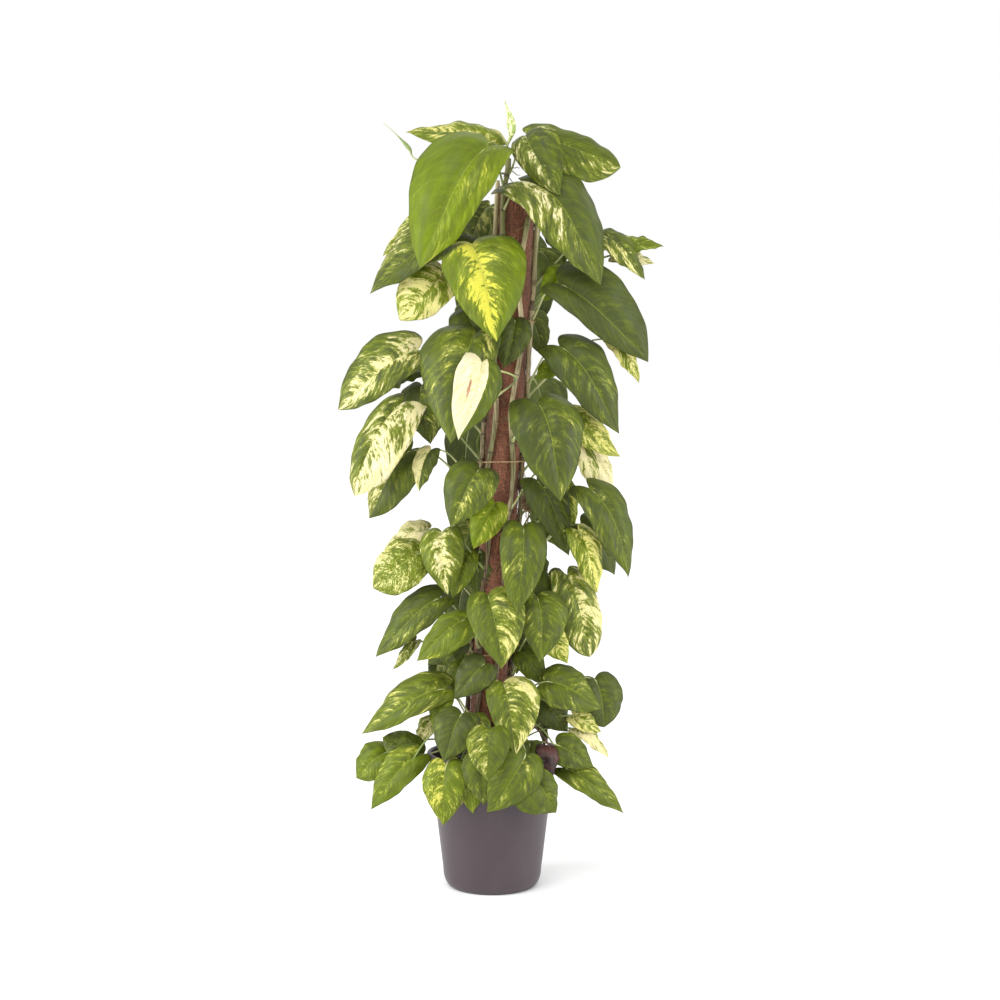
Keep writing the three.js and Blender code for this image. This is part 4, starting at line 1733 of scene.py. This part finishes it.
# Smaller leaves, which have no CAD node of their own.
SMALL_LEAVES: tuple[Leaf, ...] = (
    Leaf((206, -20, 1256), (290, -25, 1175), 66, 30, 20, 0.20, (0.36, 0.20)),
    Leaf((-95, 5, 1292), (-212, 0, 1222), 70, -15, 25, 0.45, (0.45, 0.50), 0.3),
    Leaf((140, -45, 792), (166, -55, 690), 52, 15, 10, 0.60, (0.40, 0.40), 0.8),
    Leaf((-135, -20, 973), (-118, -35, 860), 104, -30, 15, 0.15, (0.10, 0.30), 0.6),
    Leaf((48, -78, 1097), (28, -95, 1004), 75, 10, 10, 0.12, (0.06, 0.12)),
    Leaf((139, -40, 915), (244, -40, 835), 75, 20, 20, 0.45, (0.45, 0.50), 0.6, 0.0, 0.6),
    Leaf((163, -75, 697), (200, -75, 577), 65, 20, 10, 0.50, (0.50, 0.60), 0.6),
    Leaf((5, -75, 750), (-37, -85, 664), 70, 0, 10, 0.72, (0.20, 0.40), 0.8),
    Leaf((-130, 0, 692), (-216, 5, 654), 65, -10, 40, 0.30, (0.60, 0.60), 0.2, 0.0, 0.6),
    Leaf((-12, -80, 447), (-70, -90, 381), 75, -10, 15, 0.10, (0.05, 0.06)),
    Leaf((199, -5, 405), (219, -10, 310), 92, 15, 15, 0.12, (0.05, 0.06), blunt=0.9),
    Leaf((-205, 10, 258), (-266, 10, 206), 75, -20, 20, 0.50, (0.12, 0.16), 0.7, blunt=0.5),
    Leaf((123, -70, 288), (193, -70, 246), 70, 10, 20, 0.25, (0.10, 0.12)),
    Leaf((94, -30, 373), (145, -30, 304), 75, 10, 15, 0.12, (0.06, 0.10)),
    Leaf((140, -30, 1190), (95, -45, 1130), 58, 5, 10, 0.80, (0.20, 0.30), 0.9),
    Leaf((142, -20, 1182), (182, -30, 1150), 40, 20, 15, 0.60, (0.50, 0.40), 0.5),
    Leaf((232, 5, 1222), (312, 5, 1206), 45, 20, 30, 0.35, (0.60, 0.60), 0.1),
    Leaf((-140, 20, 1000), (-205, 30, 965), 60, 0, 60, 0.15, (0.15, 0.15)),
    Leaf((-50, -20, 1115), (-5, -40, 1020), 88, 0, 10, 0.12, (0.04, 0.06)),
    Leaf((230, -30, 1060), (283, -35, 978), 45, 20, 15, 0.45, (0.55, 0.45), 0.5),
    Leaf((158, -30, 888), (203, -35, 768), 56, 20, 10, 0.40, (0.70, 0.55), 0.2),
    Leaf((176, -20, 862), (240, -20, 776), 62, 20, 15, 0.40, (0.80, 0.70), 0.1),
    Leaf((-110, -30, 850), (-135, -40, 772), 50, -20, 10, 0.15, (0.70, 0.10), 0.3),
    Leaf((-50, -40, 655), (-75, -55, 567), 60, 0, 10, 0.42, (0.12, 0.20), 0.8),
    Leaf((-25, -30, 655), (-30, -45, 560), 66, 5, 10, 0.15, (0.06, 0.08)),
    Leaf((110, -40, 612), (120, -50, 505), 78, 10, 10, 0.15, (0.15, 0.10)),
    Leaf((-148, -10, 480), (-192, -10, 422), 26, -10, 10, 0.30, (0.42, 0.42), 0.2),
    Leaf((-60, -40, 488), (-125, -50, 440), 66, -10, 15, 0.12, (0.06, 0.10)),
    Leaf((-65, -60, 440), (-88, -75, 372), 62, -10, 10, 0.30, (0.25, 0.20), 0.9, 0.0, 0.9),
    Leaf((65, -60, 460), (110, -75, 396), 58, 10, 10, 0.30, (0.16, 0.20), 0.6),
    Leaf((95, -50, 508), (142, -60, 446), 60, 10, 10, 0.50, (0.40, 0.50), 0.6),
    Leaf((160, -30, 312), (228, -30, 255), 34, 20, 30, 0.35, (0.70, 0.60), 0.2),
    Leaf((-95, -60, 385), (-112, -70, 310), 50, -10, 10, 0.60, (0.20, 0.24), 0.7),
    Leaf((20, -90, 300), (30, -105, 205), 84, 5, 10, 0.15, (0.05, 0.08)),
    Leaf((75, -100, 292), (55, -118, 200), 66, 5, 10, 0.22, (0.10, 0.12)),
    Leaf((-60, -112, 262), (-75, -126, 165), 60, -5, 10, 0.45, (0.50, 0.30), 0.6, 0.0, 0.7),
    Leaf((-22, -136, 278), (-14, -150, 188), 78, 0, 8, 0.28, (0.16, 0.12), 0.4),
    Leaf((-35, -126, 250), (-38, -140, 165), 62, 0, 10, 0.60, (0.35, 0.30), 0.8),
    Leaf((-140, -20, 258), (-212, -20, 292), 60, -20, 30, 0.25, (0.15, 0.15), blunt=0.8),
    Leaf((-125, -20, 325), (-152, -25, 275), 40, -20, 20, 0.45, (0.55, 0.55), 0.3),
    Leaf((150, -20, 340), (205, -20, 305), 44, 15, 20, 0.50, (0.60, 0.50), 0.5),
    Leaf((118, -15, 1010), (84, -30, 985), 40, 0, 15, 0.70, (0.25, 0.25), 0.8),
    Leaf((-40, -60, 340), (-28, -75, 262), 70, 0, 10, 0.30, (0.25, 0.20), 0.5),
)


def back_leaves() -> list[Leaf]:
    """The smaller leaves on the back of the plant, set round it as a climber sets them.

    Returns:
        The leaves, from the lowest to the highest.
    """
    rng = random.Random(77)
    pole = Pole()
    count, low, rise = 34, 330, 1010
    leaves = []
    for i in range(count):
        z = low + rise * (i + 0.5) / count
        angle = 115 + (i * 61.8) % 130
        x, y = math.sin(math.radians(angle)), -math.cos(math.radians(angle))
        reach = rng.uniform(74, 100)
        length = rng.uniform(92, 140) * (0.85 + 0.2 * z / 1300)
        out = rng.uniform(0.35, 0.62) * length
        base = pole.centre(z) + Vector((x * reach, y * reach * 0.9, 0))
        side = rng.uniform(-0.3, 0.3) * length
        down = math.sqrt(max(0.1, length**2 - out**2 - side**2))
        tip = base + Vector((x * out - y * side, y * out * 0.8 + x * side, -down))
        leaves.append(
            Leaf(
                tuple(round(c) for c in base),
                tuple(round(c) for c in tip),
                round(length * rng.uniform(0.66, 0.78)),
                round(angle + rng.uniform(-18, 18)),
                rng.choice((15, 22, 30)),
                rng.choice((0.12, 0.18, 0.25, 0.40, 0.60)),
                (rng.uniform(0.03, 0.45), rng.uniform(0.03, 0.45)),
                rng.uniform(0.2, 0.8),
            )
        )
    return leaves


@dataclass
class Plant:
    """The whole plant in its pot, built piece by piece. Lengths in millimetres.

    Args:
        marked: The number of the main leaf that has a dry mark.
        shoot: The bends of the thin shoot, from the pole outward.
        rolled: The bends of the rolled leaf, from above its stem to its point.
    """

    marked: int = 14
    shoot: tuple[Point, ...] = (
        (24, -30, 1372),
        (-60, -20, 1380),
        (-142, -14, 1400),
        (-158, -12, 1422),
        (-184, -10, 1450),
        (-207, -10, 1470),
    )
    rolled: tuple[Point, ...] = (
        (28, -50, 1418),
        (34, -66, 1434),
        (38, -69, 1448),
        (36, -63, 1464),
        (31, -53, 1482),
        (26, -43, 1500),
        (24, -38, 1512),
    )
    looks: Palette = field(default_factory=Palette)
    pot: Pot = field(default_factory=Pot)
    pole: Pole = field(default_factory=Pole)

    def __post_init__(self) -> None:
        """Prepares the stems, which follow the pole, and the foliage, which follows them."""
        self.stems = Stems(self.pole)
        self.foliage = Foliage(self.stems, self.looks)

    def build_foliage(self) -> None:
        """Makes the main leaves, then the small ones where there is room."""
        for i, leaf in enumerate(MAIN_LEAVES, 1):
            self.foliage.build_leaf(f"leaf_blade_{i:02d}", leaf, i, node=f"leaf_{i:02d}")
        LOG.info("main leaves: %d", len(MAIN_LEAVES))
        small = [*SMALL_LEAVES, *back_leaves()]
        for i, leaf in enumerate(small, 1):
            seed = 100 + i
            settled = self.foliage.settle(leaf, seed)
            self.foliage.build_leaf(f"small_leaf_{i:02d}", settled, seed)
        LOG.info("small leaves: %d", len(small))

    def build_withered(self) -> bpy.types.Object:
        """Makes the dead leaf that hangs over the rim.

        Returns:
            The piece.
        """
        made = self.foliage.build_leaf("dead_leaf", WITHERED, 91, "dead_leaf", "withered_leaf")
        for i in range(len(made.data.materials)):
            made.data.materials[i] = self.looks.withered
        return made

    def build_mark(self) -> bpy.types.Object:
        """Makes the dry brown mark on the pale half of the leaf in the middle.

        Returns:
            The piece.
        """
        blade = Blade(MAIN_LEAVES[self.marked - 1], self.marked)
        bm = bmesh.new()
        bmesh.ops.create_grid(bm, x_segments=4, y_segments=14, size=1.0)
        for v in bm.verts:
            side, up = v.co.x, v.co.y
            width = 0.055 * (1 - 0.7 * up**2) * (1 + 0.3 * math.sin(7 * up))
            on_blade = blade.point(0.40 + 0.10 * up, 0.34 + width * side)
            v.co = (on_blade + blade.out * 0.3) * MM
        bmesh.ops.solidify(bm, geom=list(bm.faces), thickness=0.2 * MM)
        bmesh.ops.recalc_face_normals(bm, faces=bm.faces)
        return new_piece("dry_mark", bm, [self.looks.mark])

    def build_shoot(self) -> bpy.types.Object:
        """Makes the thin rolled shoot that stands out at the upper left.

        Returns:
            The piece.
        """
        steps = 40
        path = smooth_path([Vector(p) for p in self.shoot], steps)
        radii = []
        for i in range(steps + 1):
            radii.append((0.5 + 1.4 * (1 - i / steps) + 3.0 * bell(i - 25, 3.5)) * MM)
        bm = bmesh.new()
        sweep(bm, [p * MM for p in path], radii, 8)
        return new_piece("thin_shoot", bm, [self.looks.stalk])

    def build_furled(self) -> bpy.types.Object:
        """Makes the rolled new leaf: a stalk that swells into a wound spindle with a fine point.

        Returns:
            The piece.
        """
        vine = self.stems.vines[0]
        steps = 48
        start = self.stems.point(vine, vine.top - 3)
        path = smooth_path([start, *(Vector(p) for p in self.rolled)], steps)
        radii = []
        for i in range(steps + 1):
            u = i / steps
            end = min(1.0, (1 - u) / 0.25)
            radii.append((1.9 + 6.8 * bell(u - 0.52, 0.20)) * max(0.10, end) * MM)
        bm = bmesh.new()
        rings = sweep(bm, [p * MM for p in path], radii, 14)
        for i, ring in enumerate(rings):
            centre = sum((v.co for v in ring), Vector()) / len(ring)
            for k, v in enumerate(ring):
                wind = 1 + 0.16 * math.sin(TURN * k / len(ring) + i * 0.28) * min(1.0, i / 24)
                v.co = centre + (v.co - centre) * wind
        return new_piece("rolled_leaf", bm, [self.looks.furled], ["furled_leaf"])

    def build(self) -> None:
        """Builds every piece."""
        self.pot.build_pot(self.looks)
        self.pot.build_soil(self.looks)
        self.pot.build_crumbs(self.looks)
        LOG.info("pot and soil")
        self.pole.build_core(self.looks)
        self.pole.build_sleeve(self.looks)
        self.pole.build_hairs(self.looks)
        LOG.info("pole")
        self.build_foliage()
        self.build_withered()
        self.build_mark()
        self.build_furled()
        self.build_shoot()
        self.stems.build(self.looks)
        self.stems.build_roots(self.looks)
        self.stems.build_tangle(self.looks)
        self.stems.build_ties(self.looks)
        LOG.info("stems, roots and ties")


# ---------------------------------------------------------------- studio


@dataclass
class Studio:
    """The floor, the light and the camera. Lengths in metres."""

    eye: Point = (0.015, -3.5, 0.95)
    target: Point = (0.015, 0.0, 0.751)
    seen_width: float = 1.93
    floor_radius: float = 60.0
    floor_grey: float = 0.94
    key_from: Point = (-0.38, -0.95, 1.0)
    key_strength: float = 1.5
    key_spread: float = 42.0
    strip_at: Point = (2.6, -0.9, 1.0)
    strip_size: tuple[float, float] = (0.7, 2.0)
    left_power: float = 56.0
    right_power: float = 42.0

    def build_floor(self) -> None:
        """Lays a wide pale floor."""
        bm = bmesh.new()
        bmesh.ops.create_circle(bm, cap_ends=True, segments=96, radius=self.floor_radius)
        mesh = bpy.data.meshes.new("floor")
        bm.to_mesh(mesh)
        bm.free()
        floor = bpy.data.objects.new("floor", mesh)
        bpy.context.scene.collection.objects.link(floor)
        g = Graph("floor_white")
        mesh.materials.append(g.finish((self.floor_grey,) * 3, 0.9))

    def add_sun(self, name: str, toward: Point, strength: float, spread: float) -> None:
        """Adds a broad distant lamp.

        Args:
            name: The lamp's name.
            toward: The direction that it shines from.
            strength: Its strength.
            spread: How wide it looks, in degrees.
        """
        data = bpy.data.lights.new(name, "SUN")
        data.energy = strength
        data.angle = math.radians(spread)
        lamp = bpy.data.objects.new(name, data)
        lamp.rotation_euler = (-Vector(toward)).to_track_quat("-Z", "Y").to_euler()
        bpy.context.scene.collection.objects.link(lamp)

    def add_strip(self, name: str, at: Point, power: float) -> None:
        """Adds a tall soft lamp that stands beside the plant and faces it.

        Args:
            name: The lamp's name.
            at: Its middle.
            power: Its power, in watts.
        """
        data = bpy.data.lights.new(name, "AREA")
        data.shape = "RECTANGLE"
        data.size, data.size_y = self.strip_size
        data.energy = power
        lamp = bpy.data.objects.new(name, data)
        lamp.location = at
        facing = Vector((0, 0, at[2])) - Vector(at)
        lamp.rotation_euler = facing.to_track_quat("-Z", "Y").to_euler()
        bpy.context.scene.collection.objects.link(lamp)

    def build_light(self) -> None:
        """Sets a white surround, a broad key from the upper left and a strip on each side."""
        world = bpy.data.worlds.new("studio")
        world.use_nodes = True
        background = world.node_tree.nodes["Background"]
        background.inputs["Color"].default_value = (1.0, 1.0, 1.0, 1.0)
        background.inputs["Strength"].default_value = 1.0
        bpy.context.scene.world = world
        self.add_sun("key", self.key_from, self.key_strength, self.key_spread)
        x, y, z = self.strip_at
        self.add_strip("left_strip", (-x, y, z), self.left_power)
        self.add_strip("right_strip", (x, y, z), self.right_power)

    def build_camera(self) -> None:
        """Places the camera and sets the colours to be shown as they are."""
        data = bpy.data.cameras.new("camera")
        view = Vector(self.target) - Vector(self.eye)
        data.lens = data.sensor_width * view.length / self.seen_width
        camera = bpy.data.objects.new("camera", data)
        camera.location = self.eye
        camera.rotation_euler = view.to_track_quat("-Z", "Y").to_euler()
        bpy.context.scene.collection.objects.link(camera)
        bpy.context.scene.camera = camera
        bpy.context.scene.view_settings.view_transform = "Standard"

    def build(self) -> None:
        """Builds the floor, the light and the camera."""
        self.build_floor()
        self.build_light()
        self.build_camera()


def main() -> None:
    """Builds the studio and the plant."""
    logging.basicConfig(level=logging.INFO, format="%(name)s: %(message)s")
    Studio().build()
    Plant().build()


if __name__ == "__main__":
    main()
